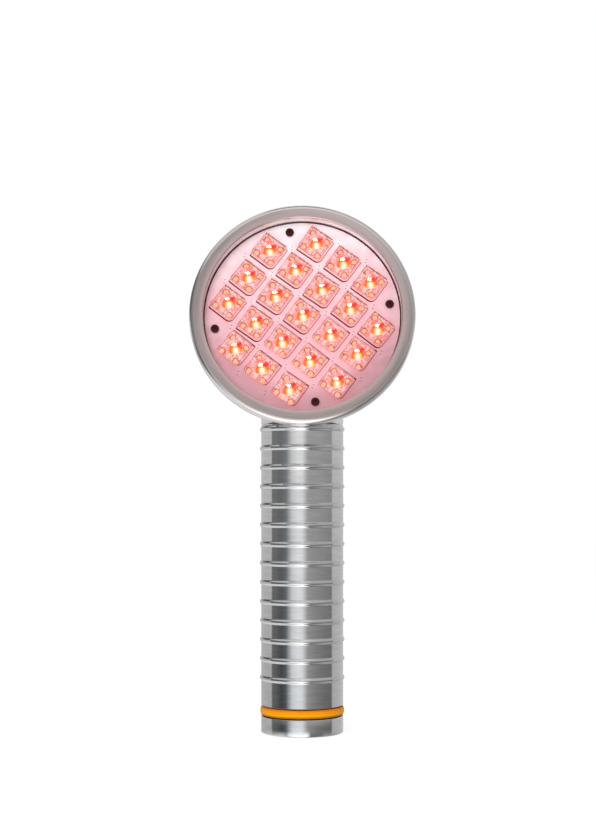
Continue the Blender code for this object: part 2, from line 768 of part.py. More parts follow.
def make_switch(axis):
    """Push switch on the board and the plunger that stands in its well."""
    half = SWITCH_WIDTH / 2
    body = block("switch_body", (-half, -half, SWITCH_BASE), (half, half, SWITCH_TOP), parent=axis)
    plunger_base = SWITCH_TOP - PLUNGER_SEAT
    well = rod(
        "switch_well_cutter",
        PLUNGER_RADIUS + ASSEMBLY_GAP,
        plunger_base - BUTTON_TRAVEL - ASSEMBLY_GAP,
        SWITCH_TOP + CUT_OVERRUN,
        SMALL_SEGMENTS,
        collection=CUTTERS,
        parent=axis,
    )
    settle(cut(body, well), "black_moulding")
    plunger = rod(
        "switch_plunger", PLUNGER_RADIUS, plunger_base, PLUNGER_TOP, SMALL_SEGMENTS, parent=axis
    )
    settle(plunger, "cream_plastic")


def make_power_button(axis):
    """Domed button with a flange inside the tube and a stem on the plunger."""
    top = COLLAR_TOP + BUTTON_PROUD
    flange_base = FLANGE_TOP - BUTTON_FLANGE_THICKNESS
    shoulder = BUTTON_RADIUS - BUTTON_EDGE_ROUND
    outline = [(0, top)]
    outline += arc(
        shoulder, top - BUTTON_EDGE_ROUND, BUTTON_EDGE_ROUND, QUARTER_TURN, 0, ROUNDING_STEPS
    )
    outline += [
        (BUTTON_RADIUS, FLANGE_TOP),
        (FLANGE_RADIUS, FLANGE_TOP),
        (FLANGE_RADIUS, flange_base),
        (BUTTON_STEM_RADIUS, flange_base),
        (BUTTON_STEM_RADIUS, STEM_END),
        (0, STEM_END),
    ]
    settle(turned("power_button", outline, SMALL_SEGMENTS, closed=False, parent=axis), "soft_button")


def make_button_collar(axis):
    """Sealing collar pressed into the pad round the button."""
    wall_radius = COLLAR_RADIUS + COLLAR_WALL
    lip_radius = wall_radius + COLLAR_LIP_WIDTH
    lip_base = COLLAR_TOP - COLLAR_LIP_HEIGHT
    outline = [
        (COLLAR_RADIUS, COLLAR_TOP),
        (lip_radius, COLLAR_TOP),
        (lip_radius, lip_base),
        (wall_radius, lip_base),
        (wall_radius, PAD_SURFACE - COLLAR_DEPTH),
        (COLLAR_RADIUS, PAD_SURFACE - COLLAR_DEPTH),
    ]
    settle(turned("button_collar", outline, SMALL_SEGMENTS, closed=True, parent=axis), "black_rubber")


def make_bezel_ring(head_axis):
    """Ring with a flat face, a rounded rim and a threaded spigot."""
    rim = BEZEL_RADIUS - BEZEL_ROUNDING
    outline = [(BEZEL_APERTURE + BEZEL_LIP_CHAMFER, 0)]
    outline += arc(rim, -BEZEL_ROUNDING, BEZEL_ROUNDING, QUARTER_TURN, 0, ROUNDING_STEPS)
    outline += [
        (BEZEL_RADIUS, -BEZEL_FLANGE + BEZEL_BACK_CHAMFER),
        (BEZEL_RADIUS - BEZEL_BACK_CHAMFER, -BEZEL_FLANGE),
        (BEZEL_SPIGOT_RADIUS, -BEZEL_FLANGE),
        (BEZEL_SPIGOT_RADIUS, -BEZEL_FLANGE - BEZEL_SPIGOT_LENGTH),
        (BEZEL_APERTURE, -BEZEL_FLANGE - BEZEL_SPIGOT_LENGTH),
        (BEZEL_APERTURE, -BEZEL_LIP_CHAMFER),
    ]
    settle(turned("bezel_ring", outline, HEAD_SEGMENTS, closed=True, parent=head_axis), "satin_ring")


def make_bezel_gasket(head_axis):
    """Flat rubber ring between the bezel's flange and the shell's edge."""
    outer = SHELL_RADIUS - SHELL_EDGE_CHAMFER
    outline = [
        (SHELL_SEAT_RADIUS, -GASKET_DEPTH),
        (outer, -GASKET_DEPTH),
        (outer, -GASKET_DEPTH - GASKET_THICKNESS),
        (SHELL_SEAT_RADIUS, -GASKET_DEPTH - GASKET_THICKNESS),
    ]
    settle(turned("bezel_gasket", outline, HEAD_SEGMENTS, closed=True, parent=head_axis), "black_rubber")


def neck_tool():
    """Solid neck: a dome that runs into the bowl, a straight collar and the spigot."""
    spring = NECK_BASE + NECK_STRAIGHT
    outline = []
    for step in range(DOME_STEPS * 2 + 1):
        angle = QUARTER_TURN * (1 - step / (DOME_STEPS * 2))
        outline.append((TUBE_RADIUS * math.cos(angle), spring + NECK_DOME_HEIGHT * math.sin(angle)))
    outline[0] = (0, spring + NECK_DOME_HEIGHT)
    outline += [
        (TUBE_RADIUS, NECK_BASE),
        (SPIGOT_RADIUS, NECK_BASE),
        (SPIGOT_RADIUS, NECK_SPIGOT_BASE),
        (0, NECK_SPIGOT_BASE),
    ]
    return turned("neck_tool", outline, HANDLE_SEGMENTS, closed=False, collection=CUTTERS)


def cavity_tool(head_axis):
    """Hollow of the bowl, with the screw posts left standing in it."""
    inner_radius = SHELL_RADIUS - SHELL_WALL
    outline = [
        (0, -MOUTH_DEPTH + CUT_OVERRUN),
        (SHELL_SEAT_RADIUS, -MOUTH_DEPTH + CUT_OVERRUN),
        (SHELL_SEAT_RADIUS, -SEAT_DEPTH),
        (inner_radius, -SEAT_DEPTH),
    ]
    outline += bowl_outline(inner_radius, BOWL_DEPTH - SHELL_WALL)
    cavity = turned(
        "cavity_cutter", outline, HEAD_SEGMENTS, closed=False, collection=CUTTERS, parent=head_axis
    )
    for index in range(SCREW_COUNT):
        post = rod(
            f"post_tool_{index + 1}",
            POST_RADIUS,
            -BOWL_START - BOWL_DEPTH,
            -POST_TOP_DEPTH,
            SCREW_SEGMENTS,
            collection=CUTTERS,
            parent=head_axis,
        )
        post.location = circle_place(index)
        cut(cavity, post)
    return cavity


def make_head_shell(head_axis):
    """Bowl behind the bezel with the neck that screws into the tube."""
    outline = [
        (0, -MOUTH_DEPTH),
        (SHELL_RADIUS - SHELL_EDGE_CHAMFER, -MOUTH_DEPTH),
        (SHELL_RADIUS, -MOUTH_DEPTH - SHELL_EDGE_CHAMFER),
        (SHELL_RADIUS, -BOWL_START),
    ]
    outline += bowl_outline(SHELL_RADIUS, BOWL_DEPTH)
    shell = turned("head_shell", outline, HEAD_SEGMENTS, closed=False, parent=head_axis)
    combine(shell, neck_tool(), "UNION")
    cut(shell, cavity_tool(head_axis))
    bore = rod(
        "neck_bore_cutter",
        CELL_BORE,
        NECK_SPIGOT_BASE - CUT_OVERRUN,
        NECK_BASE + NECK_BORE_RISE,
        HANDLE_SEGMENTS,
        collection=CUTTERS,
    )
    cut(shell, bore)
    hole_floor = LED_SEAT_DEPTH + SCREW_LENGTH + ASSEMBLY_GAP
    for index in range(SCREW_COUNT):
        hole = rod(
            f"post_hole_cutter_{index + 1}",
            SCREW_HOLE_RADIUS,
            -hole_floor,
            -BOARD_RECESS,
            SCREW_SEGMENTS,
            collection=CUTTERS,
            parent=head_axis,
        )
        hole.location = circle_place(index)
        cut(shell, hole)
    settle(shell, "satin_shell")


def make_led_board(head_axis):
    """Round board with four screw holes."""
    board = rod(
        "led_board", BOARD_RADIUS, -BOARD_BACK_DEPTH, -BOARD_RECESS, HEAD_SEGMENTS, parent=head_axis
    )
    for index in range(SCREW_COUNT):
        hole = rod(
            f"board_hole_cutter_{index + 1}",
            SCREW_HOLE_RADIUS,
            -BOARD_BACK_DEPTH - CUT_OVERRUN,
            -BOARD_RECESS + CUT_OVERRUN,
            SCREW_SEGMENTS,
            collection=CUTTERS,
            parent=head_axis,
        )
        hole.location = circle_place(index)
        cut(board, hole)
    settle(board, "white_board")


def make_board_screws(head_axis):
    """Four socket screws through the board into the shell's posts."""
    outline = [
        (0, SCREW_HEAD_HEIGHT),
        (SCREW_HEAD_RADIUS, SCREW_HEAD_HEIGHT),
        (SCREW_HEAD_RADIUS, 0),
        (SCREW_SHANK_RADIUS, 0),
        (SCREW_SHANK_RADIUS, -SCREW_LENGTH),
        (0, -SCREW_LENGTH),
    ]
    pattern = turned("board_screw_1", outline, SCREW_SEGMENTS, closed=False)
    socket = rod(
        "screw_socket_cutter",
        SCREW_SOCKET_RADIUS,
        SCREW_HEAD_HEIGHT - SCREW_SOCKET_DEPTH,
        SCREW_HEAD_HEIGHT + CUT_OVERRUN,
        SCREW_SOCKET_SIDES,
        collection=CUTTERS,
    )
    settle(cut(pattern, socket), "black_steel")
    for index in range(SCREW_COUNT):
        name = f"board_screw_{index + 1}"
        screw = pattern if index == 0 else add_object(name, pattern.data, PARTS)
        screw.parent = head_axis
        screw.location = circle_place(index) + Vector((0, 0, -LED_SEAT_DEPTH))


def led_mesh():
    """Mesh of one LED: a square body with one cut corner and a round lens on top."""
    half = LED_WIDTH / 2
    outline = [
        (-half + LED_CORNER_CUT, -half),
        (half, -half),
        (half, half),
        (-half, half),
        (-half, -half + LED_CORNER_CUT),
    ]
    body = extruded("led_pattern", outline, 0, LED_BODY_HEIGHT)
    lens_outline = []
    for step in range(DOME_STEPS + 1):
        angle = QUARTER_TURN * (1 - step / DOME_STEPS)
        lens_outline.append(
            (LED_DOME_RADIUS * math.cos(angle), LED_BODY_HEIGHT + LED_DOME_HEIGHT * math.sin(angle))
        )
    lens_outline[0] = (0, LED_BODY_HEIGHT + LED_DOME_HEIGHT)
    lens_outline += [(LED_DOME_RADIUS, LED_BODY_HEIGHT / 2), (0, LED_BODY_HEIGHT / 2)]
    lens = turned("led_lens_tool", lens_outline, DOME_SEGMENTS, closed=False, collection=CUTTERS)
    combine(body, lens, "UNION")
    mesh = settle(body, "clear_epoxy").data
    bpy.data.objects.remove(body, do_unlink=True)
    bpy.data.objects.remove(lens, do_unlink=True)
    return mesh


def make_leds(head_axis):
    """Grid of LEDs without its four corners, each a little off its exact place."""
    mesh = led_mesh()
    chance = random.Random(LED_SEED)
    grid_turn = POST_TURN + QUARTER_TURN / 2
    reach = range(-LED_GRID_REACH, LED_GRID_REACH + 1)
    number = 0
    for row in reversed(reach):
        for column in reach:
            if abs(row) == LED_GRID_REACH and abs(column) == LED_GRID_REACH:
                continue
            number += 1
            led = add_object(f"led_{number:02d}", mesh, PARTS, head_axis)
            place = Vector((row * LED_PITCH, -column * LED_PITCH, 0))
            place.x += chance.uniform(-LED_PLACE_TOLERANCE, LED_PLACE_TOLERANCE)
            place.y += chance.uniform(-LED_PLACE_TOLERANCE, LED_PLACE_TOLERANCE)
            place.rotate(Euler((0, 0, grid_turn)))
            led.location = place + Vector((0, 0, -LED_SEAT_DEPTH))
            turn = chance.uniform(-LED_TURN_TOLERANCE, LED_TURN_TOLERANCE)
            led.rotation_euler = (0, 0, grid_turn + turn)


def smooth_path(points):
    """Sample a smooth curve that passes through the points, its ends included."""
    path = []
    last = len(points) - 1
    for index in range(last):
        before = points[max(index - 1, 0)]
        start = points[index]
        end = points[index + 1]
        after = points[min(index + 2, last)]
        for step in range(LEAD_STEPS):
            share = step / LEAD_STEPS
            path.append(
                start
                + (end - before) * share / 2
                + (before - start * 5 / 2 + end * 2 - after / 2) * share ** 2
                + (start * 3 - before - end * 3 + after) * share ** 3 / 2
            )
    path.append(points[last])
    return path


def make_lead(name, head_axis, across, finish):
    """Insulated lead from the driver board, up the neck, to the back of the LED board."""
    start = Vector((across, DRIVER_FRONT - ASSEMBLY_GAP, DRIVER_TOP - LEAD_PAD_DROP))
    end = head_axis.matrix_world @ Vector((across, -LEAD_END_DROP, -POST_TOP_DEPTH))
    route = []
    for depth_share, height_share in LEAD_ROUTE_SHARES:
        depth = start.y + (end.y - start.y) * depth_share
        height = start.z + (end.z - start.z) * height_share
        route.append(Vector((across, depth, height)))
    wire(name, smooth_path(route), LEAD_RADIUS, finish)


def main():
    """Build the whole lamp."""
    clear_scene()
    make_collection(PARTS)
    make_collection(CUTTERS)
    head_axis = make_axis(
        "head_axis",
        (0, -HEAD_FORWARD, HEAD_HEIGHT),
        Euler((QUARTER_TURN - HEAD_TILT, 0, 0)),
    )
    backwards = Euler((-QUARTER_TURN, 0, 0))
    button_axis = make_axis("button_axis", (0, 0, BUTTON_HEIGHT), backwards)
    socket_axis = make_axis("socket_axis", (0, 0, SOCKET_HEIGHT), backwards)
    bpy.context.view_layer.update()

    make_end_cap()
    make_cap_contact()
    make_seal_ring()
    make_handle_tube(button_axis, socket_axis)
    make_cell()
    make_cell_sleeve()
    make_upper_contacts()
    make_driver_board()
    make_controller_chip()
    make_power_inductor()
    make_capacitor("capacitor_lower", CAPACITOR_LOW)
    make_capacitor("capacitor_upper", CAPACITOR_HIGH)
    make_charge_socket(socket_axis)
    make_switch(button_axis)
    make_power_button(button_axis)
    make_button_collar(button_axis)
    make_bezel_ring(head_axis)
    make_bezel_gasket(head_axis)
    make_head_shell(head_axis)
    make_led_board(head_axis)
    make_board_screws(head_axis)
    make_leds(head_axis)
    make_lead("lead_red", head_axis, LEAD_SPREAD, "red_insulation")
    make_lead("lead_black", head_axis, -LEAD_SPREAD, "black_insulation")


main()
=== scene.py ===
"""Looks of the LED light therapy lamp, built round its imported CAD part.

The lamp stands on its end cap. Its handle runs up +Z, and its round head looks towards -Y,
tilted a little back. Each sub-assembly is a class, which holds its sizes, takes its places
from the CAD nodes, builds its meshes and gives them their finishes.
"""

import logging
import math
from dataclasses import dataclass, field
from enum import Enum

import bmesh
import bpy
from mathutils import Euler, Matrix, Vector


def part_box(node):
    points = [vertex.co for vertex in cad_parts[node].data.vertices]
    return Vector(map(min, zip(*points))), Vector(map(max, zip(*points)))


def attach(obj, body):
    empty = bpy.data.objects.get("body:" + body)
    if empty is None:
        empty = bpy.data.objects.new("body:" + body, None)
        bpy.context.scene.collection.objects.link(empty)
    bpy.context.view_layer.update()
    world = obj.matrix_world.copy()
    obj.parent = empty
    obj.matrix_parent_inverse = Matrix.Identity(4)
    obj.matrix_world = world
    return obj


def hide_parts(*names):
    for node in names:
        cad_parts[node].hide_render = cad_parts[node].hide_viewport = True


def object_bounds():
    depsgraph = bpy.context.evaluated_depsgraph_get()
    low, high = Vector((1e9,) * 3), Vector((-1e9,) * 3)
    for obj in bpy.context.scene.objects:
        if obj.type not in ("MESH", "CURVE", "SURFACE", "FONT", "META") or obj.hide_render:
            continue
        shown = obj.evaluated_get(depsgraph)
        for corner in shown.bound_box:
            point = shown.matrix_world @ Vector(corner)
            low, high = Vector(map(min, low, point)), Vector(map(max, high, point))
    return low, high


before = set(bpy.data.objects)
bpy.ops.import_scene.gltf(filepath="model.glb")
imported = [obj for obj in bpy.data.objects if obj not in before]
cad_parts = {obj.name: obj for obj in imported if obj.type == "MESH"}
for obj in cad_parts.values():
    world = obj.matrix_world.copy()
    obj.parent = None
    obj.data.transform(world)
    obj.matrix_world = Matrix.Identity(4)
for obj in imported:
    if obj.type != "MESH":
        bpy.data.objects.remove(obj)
CAD_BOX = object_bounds()
LOG = logging.getLogger("lamp")

Mesh = bpy.types.Mesh
Material = bpy.types.Material
Socket = bpy.types.NodeSocket
Sockets = bpy.types.bpy_prop_collection
Source = Socket | float | tuple
Pair = tuple[float, float]
Triple = tuple[float, float, float]
Stops = tuple[tuple[float, Triple], ...]
Bands = tuple[Triple, ...]
Outline = list[tuple[float, ...]]
Spots = list[tuple[Vector, float]]

MM = 0.001
FULL_TURN = 2 * math.pi
QUARTER_TURN = math.pi / 2
MERGE_DISTANCE = 0.000002
SMOOTH_ANGLE = math.radians(34)
HEAD_TILT = math.radians(9)
APERTURE_RADIUS = 29.6 * MM
LED_WIDTH = 7.6 * MM
LED_PITCH = 10.16 * MM
GRID_TURN = math.radians(53.3)
PLAN_MAP = "LedPlan"
FLOAT = "NodeSocketFloat"
VECTOR = "NodeSocketVector"
GEOMETRY = "NodeSocketGeometry"


class Body(Enum):
    """The CAD bodies that pieces ride on."""

    LAMP = "lamp"
    BUTTON = "button"
    SEAL = "seal"
    CAP = "cap"


class Slot(Enum):
    """The record's material slots, one named with each new piece."""

    RING = "satin_ring"
    SHELL = "satin_shell"
    TUBE = "ribbed_tube"
    CAP = "cap_metal"
    SEAL = "orange_rubber"
    BOARD = "white_board"
    EPOXY = "clear_epoxy"
    SCREW = "black_steel"
    RUBBER = "black_rubber"
    CAN = "bare_can"
    BUTTON = "soft_button"


# Shared ways to make meshes


def node_points(node: str) -> list[Vector]:
    """List the corners of a CAD node's mesh, in metres."""
    return [vertex.co.copy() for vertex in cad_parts[node].data.vertices]


def new_piece(name: str, mesh: Mesh) -> bpy.types.Object:
    """Link a mesh to the scene as an object at the origin.

    Args:
        name: the object's name.
        mesh: its mesh.

    Returns:
        The object.
    """
    piece = bpy.data.objects.new(name, mesh)
    bpy.context.scene.collection.objects.link(piece)
    return piece


def mesh_from(shape: bmesh.types.BMesh, name: str) -> Mesh:
    """Turn a bmesh into a mesh with its faces pointing out, and free it.

    Args:
        shape: the finished shape.
        name: name of the mesh.

    Returns:
        The new mesh.
    """
    bmesh.ops.remove_doubles(shape, verts=shape.verts, dist=MERGE_DISTANCE)
    bmesh.ops.recalc_face_normals(shape, faces=shape.faces)
    mesh = bpy.data.meshes.new(name)
    shape.to_mesh(mesh)
    shape.free()
    return mesh


def smooth(mesh: Mesh) -> Mesh:
    """Shade the round faces smooth and keep the sharp edges.

    Args:
        mesh: the mesh to shade.

    Returns:
        The same mesh.
    """
    mesh.shade_smooth()
    mesh.set_sharp_from_angle(angle=SMOOTH_ANGLE)
    return mesh


def rounded(corners: Outline, steps: int = 4) -> Outline:
    """Round the corners of an open outline.

    Args:
        corners: (across, along) or (across, along, fillet radius) for each corner.
        steps: number of stretches in each arc.

    Returns:
        The outline's points.
    """
    points: Outline = []
    for index, corner in enumerate(corners):
        here = Vector(corner[:2])
        radius = corner[2] if len(corner) > 2 else 0
        if radius == 0 or index in (0, len(corners) - 1):
            points.append(tuple(here))
            continue
        to_last = (Vector(corners[index - 1][:2]) - here).normalized()
        to_next = (Vector(corners[index + 1][:2]) - here).normalized()
        half = to_last.angle(to_next) / 2
        middle = here + (to_last + to_next).normalized() * (radius / math.sin(half))
        start = here + to_last * (radius / math.tan(half)) - middle
        sweep = start.angle_signed(here + to_next * (radius / math.tan(half)) - middle)
        for step in range(steps + 1):
            turn = Matrix.Rotation(-sweep * step / steps, 2)
            points.append(tuple(middle + turn @ start))
    return points


def lathe(
    name: str,
    outline: Outline,
    segments: int,
    place: Matrix = Matrix.Identity(4),
    ring: bool = False,
) -> Mesh:
    """Turn an outline of (radius, height) points about the local Z axis.

    Args:
        name: name of the mesh.
        outline: the points, from pole to pole, or once round a ring's section.
        segments: number of sides.
        place: where the local axes stand.
        ring: whether the section closes on itself.

    Returns:
        The turned mesh, closed.
    """
    shape = bmesh.new()
    columns = []
    for side in range(segments):
        angle = FULL_TURN * side / segments
        column = []
        for radius, height in outline:
            spot = Vector((radius * math.cos(angle), radius * math.sin(angle), height))
            column.append(shape.verts.new(place @ spot))
        columns.append(column)
    rows = len(outline)
    for side, here in enumerate(columns):
        beside = columns[(side + 1) % segments]
        for row in range(rows if ring else rows - 1):
            above = (row + 1) % rows
            shape.faces.new((here[row], beside[row], beside[above], here[above]))
    return smooth(mesh_from(shape, name))


def stacked(name: str, levels: list[tuple[list[Vector], float]], ring: bool = False) -> Mesh:
    """Join flat outlines of as many points each, in order.

    Args:
        name: name of the mesh.
        levels: each outline's points and its height.
        ring: whether the last outline joins the first, in place of two flat ends.

    Returns:
        The closed mesh.
    """
    shape = bmesh.new()
    loops = [[shape.verts.new((p.x, p.y, height)) for p in points] for points, height in levels]
    pairs = list(zip(loops, loops[1:]))
    if ring:
        pairs.append((loops[-1], loops[0]))
    for here, beside in pairs:
        for index in range(len(here)):
            after = (index + 1) % len(here)
            shape.faces.new((here[index], here[after], beside[after], beside[index]))
    if not ring:
        shape.faces.new(loops[0][::-1])
        shape.faces.new(loops[-1])
    return mesh_from(shape, name)


def evaluated(piece: bpy.types.Object, name: str) -> Mesh:
    """Apply a working object's modifiers, and remove the object.

    Args:
        piece: the working object.
        name: name of the finished mesh.

    Returns:
        The plain mesh.
    """
    bpy.context.view_layer.update()
    graph = bpy.context.evaluated_depsgraph_get()
    mesh = bpy.data.meshes.new_from_object(piece.evaluated_get(graph))
    mesh.name = name
    bpy.data.objects.remove(piece, do_unlink=True)
    return mesh


def carve(target: Mesh, tools: list[Mesh], operation: str = "DIFFERENCE") -> Mesh:
    """Cut or join tools to a mesh with Booleans.

    Args:
        target: the mesh to work on.
        tools: closed meshes.
        operation: DIFFERENCE or UNION.

    Returns:
        The resulting mesh.
    """
    work = new_piece(target.name + "_work", target)
    helpers = []
    for tool in tools:
        helper = new_piece(tool.name, tool)
        modifier = work.modifiers.new(operation.title(), "BOOLEAN")
        modifier.operation = operation
        modifier.solver = "EXACT"
        modifier.object = helper
        helpers.append(helper)
    mesh = evaluated(work, target.name)
    for helper in helpers:
        bpy.data.objects.remove(helper, do_unlink=True)
    return smooth(mesh)


def dress(name: str, mesh: Mesh, finish: Material, body: Body, slot: Slot, *nodes: str) -> None:
    """Make a finished piece that rides on a body and stands for CAD nodes.

    Args:
        name: the piece's name.
        mesh: its finished mesh.
        finish: its material, unless the mesh already has its own.
        body: the CAD body that it rides on.
        slot: the record's slot for its finish; not used.
        nodes: the CAD nodes that it stands for.
    """
    if not mesh.materials:
        mesh.materials.append(finish)
    mesh.name = name
    piece = new_piece(name, mesh)
    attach(piece, body.value)
    if nodes:
        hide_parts(*nodes)
    LOG.info("%s: %d faces on %s", name, len(mesh.polygons), body.value)


def refinish(node: str, finish: Material) -> None:
    """Give a CAD node, whose shape stays, a detailed material.

    Args:
        node: name of the CAD node.
        finish: its material.
    """
    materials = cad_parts[node].data.materials
    materials.clear()
    materials.append(finish)
    LOG.info("%s keeps its CAD shape", node)


# Writers for shader and geometry node trees


class Writer:
    """Adds nodes to a tree and joins them."""

    def __init__(self, tree: bpy.types.NodeTree) -> None:
        """Keep the tree that the nodes go in."""
        self.tree = tree

    def feed(self, socket: Socket, source: Source) -> None:
        """Set a socket's value, or link it to another node's output.

        Args:
            socket: the input.
            source: the value or the output.
        """
        if isinstance(source, Socket):
            self.tree.links.new(source, socket)
        else:
            socket.default_value = source

    def add(
        self, kind: str, inputs: dict[str | int, Source] | None = None, **settings: object
    ) -> bpy.types.Node:
        """Add a node.

        Args:
            kind: the node's type name.
            inputs: value or source for each input, by name or number.
            settings: the node's own properties.

        Returns:
            The new node.
        """
        node = self.tree.nodes.new(kind)
        for name, value in settings.items():
            setattr(node, name, value)
        for key, source in (inputs or {}).items():
            self.feed(node.inputs[key], source)
        return node

    def calc(self, operation: str, *values: Source) -> Socket:
        """Work out a number with a math node."""
        return self.add("ShaderNodeMath", dict(enumerate(values)), operation=operation).outputs[0]

    def vector(self, operation: str, *values: Source) -> Socket:
        """Work with vectors.

        Args:
            operation: the node's operation.
            values: its inputs, in order.

        Returns:
            The vector, or the number where the operation measures something.
        """
        node = self.add("ShaderNodeVectorMath", dict(enumerate(values)), operation=operation)
        measures = operation in ("LENGTH", "DISTANCE", "DOT_PRODUCT")
        return node.outputs["Value" if measures else "Vector"]

    def parts(self, vector: Source) -> Sockets:
        """Split a vector into X, Y and Z."""
        return self.add("ShaderNodeSeparateXYZ", {0: vector}).outputs

    def point(self, x: Source, y: Source, z: Source = 0.0) -> Socket:
        """Join X, Y and Z into a vector."""
        return self.add("ShaderNodeCombineXYZ", {0: x, 1: y, 2: z}).outputs[0]

    def from_axis(self, spot: Source) -> Socket:
        """Measure how far a point is from the local Z axis."""
        parts = self.parts(spot)
        return self.vector("LENGTH", self.point(parts[0], parts[1]))

    def noise(self, spot: Source, scale: Source, detail: float, roughness: float = 0.5) -> Socket:
        """Read a noise about one half."""
        inputs = {"Vector": spot, "Scale": scale, "Detail": detail, "Roughness": roughness}
        return self.add("ShaderNodeTexNoise", inputs).outputs["Fac"]

    def between(
        self, value: Source, source: Pair, result: Pair = (0.0, 1.0), kind: str = "LINEAR"
    ) -> Socket:
        """Map a value from one range to another.

        Args:
            value: what is mapped.
            source: the two ends of its range.
            result: the results at those ends.
            kind: LINEAR or SMOOTHSTEP.

        Returns:
            The result, held inside its range.
        """
        inputs = {"Value": value, "From Min": source[0], "From Max": source[1]}
        inputs |= {"To Min": result[0], "To Max": result[1]}
        return self.add("ShaderNodeMapRange", inputs, interpolation_type=kind).outputs[0]

    def choose(self, share: Source, base: Source, other: Source) -> Socket:
        """Mix two numbers."""
        inputs = {"Factor": share, "A": base, "B": other}
        return self.add("ShaderNodeMix", inputs).outputs["Result"]

    def mix(self, share: Source, base: Source, other: Source, kind: str = "MIX") -> Socket:
        """Mix two colours."""
        inputs = {0: share, 6: base, 7: other}
        return self.add("ShaderNodeMix", inputs, data_type="RGBA", blend_type=kind).outputs[2]

    def ramp(self, factor: Source, stops: Stops) -> Socket:
        """Add a colour ramp.

        Args:
            factor: what the ramp reads.
            stops: place and colour of each stop.

        Returns:
            The colour.
        """
        node = self.add("ShaderNodeValToRGB", {"Fac": factor})
        elements = node.color_ramp.elements
        while len(elements) < len(stops):
            elements.new(0.5)
        for element, (place, colour) in zip(elements, stops):
            element.position = place
            element.color = (*colour, 1)
        return node.outputs["Color"]


class Effect(Writer):
    """A shader node group being written, which several materials use."""

    def __init__(self, name: str, inputs: dict[str, str]) -> None:
        """Start the group.

        Args:
            name: the group's name.
            inputs: socket type for each input.
        """
        super().__init__(bpy.data.node_groups.new(name, "ShaderNodeTree"))
        for socket, kind in inputs.items():
            self.tree.interface.new_socket(socket, in_out="INPUT", socket_type=kind)
        self.entry = self.add("NodeGroupInput").outputs
        self.exit = self.add("NodeGroupOutput")

    def give(self, name: str, source: Socket) -> None:
        """Add a named output for a number that changes over the surface."""
        self.tree.interface.new_socket(name, in_out="OUTPUT", socket_type=FLOAT)
        self.feed(self.exit.inputs[name], source)


def make_turned_marks(slant: float = 1.13, broadness: float = 0.11) -> bpy.types.NodeTree:
    """Write the fine rings that a lathe leaves round the local Z axis.

    Args:
        slant: how much the rings change along the axis, for 1 across it.
        broadness: fineness of the tone, for 1 of the rings.

    Returns:
        The group, with the rings' height and a broader change of tone.
    """
    marks = Effect("turned_marks", {"Vector": VECTOR, "Fineness": FLOAT, "Streaks": FLOAT})
    parts = marks.parts(marks.entry["Vector"])
    flat = marks.point(parts[0], parts[1])
    around = marks.vector("MULTIPLY", marks.vector("NORMALIZE", flat), marks.entry["Streaks"])
    ends = marks.parts(around)
    run = marks.calc("MULTIPLY_ADD", parts[2], slant, marks.vector("LENGTH", flat))
    fine = marks.calc("MULTIPLY", run, marks.entry["Fineness"])
    marks.give("Height", marks.noise(marks.point(ends[0], ends[1], fine), 1.0, 3.0))
    broad = marks.calc("MULTIPLY", fine, broadness)
    marks.give("Tone", marks.noise(marks.point(ends[0], ends[1], broad), 1.0, 2.0))
    return marks.tree


def make_fine_grain(broadness: float = 0.06) -> bpy.types.NodeTree:
    """Write the grain of moulded and coated surfaces.

    Args:
        broadness: scale of the tone, for 1 of the grain.

    Returns:
        The group, with the grain's height and a broader change of tone.
    """
    grain = Effect("fine_grain", {"Vector": VECTOR, "Scale": FLOAT})
    spot = grain.entry["Vector"]
    scale = grain.entry["Scale"]
    grain.give("Height", grain.noise(spot, scale, 4.0, 0.6))
    grain.give("Tone", grain.noise(spot, grain.calc("MULTIPLY", scale, broadness), 2.0))
    return grain.tree


def head_axes() -> Matrix:
    """Find the lamp head's own axes: X across, Y up the face and Z out of it.

    Returns:
        The axes, with the origin in the middle of the bezel's front.
    """
    turn = Euler((QUARTER_TURN - HEAD_TILT, 0, 0)).to_matrix()
    inverse = turn.transposed()
    points = [inverse @ point for point in node_points("bezel_ring")]
    middle = (min(p.y for p in points) + max(p.y for p in points)) / 2
    front = max(p.z for p in points)
    return Matrix.Translation(turn @ Vector((0, middle, front))) @ turn.to_4x4()


HEAD = head_axes()
TURNED_MARKS = make_turned_marks()
FINE_GRAIN = make_fine_grain()


class Paint(Writer):
    """A material being written, with its Principled BSDF node."""

    def __init__(self, name: str) -> None:
        """Make the material.

        Args:
            name: the material's name.
        """
        self.material = bpy.data.materials.new(name)
        self.material.use_nodes = True
        super().__init__(self.material.node_tree)
        self.shader = self.tree.nodes["Principled BSDF"]

    def set(self, socket: str, source: Source) -> None:
        """Set or link one of the shader's inputs."""
        self.feed(self.shader.inputs[socket], source)

    def group(self, tree: bpy.types.NodeTree, **inputs: Source) -> Sockets:
        """Place a shared effect with its own values."""
        return self.add("ShaderNodeGroup", inputs, node_tree=tree).outputs

    def here(self) -> Socket:
        """Read Object coordinates."""
        return self.add("ShaderNodeTexCoord").outputs["Object"]

    def local(self, place: Matrix) -> Socket:
        """Read Object coordinates on a place's own axes.

        Args:
            place: where the axes stand.

        Returns:
            The coordinates.
        """
        back = place.inverted()
        inputs = {"Vector": self.here(), "Location": back.translation, "Rotation": back.to_euler()}
        return self.add("ShaderNodeMapping", inputs).outputs["Vector"]

    def bump(self, height: Source, depth: float) -> None:
        """Raise the surface by a height pattern of a given depth."""
        node = self.add("ShaderNodeBump", {"Strength": 1.0, "Distance": depth, "Height": height})
        self.set("Normal", node.outputs["Normal"])


# Finishes


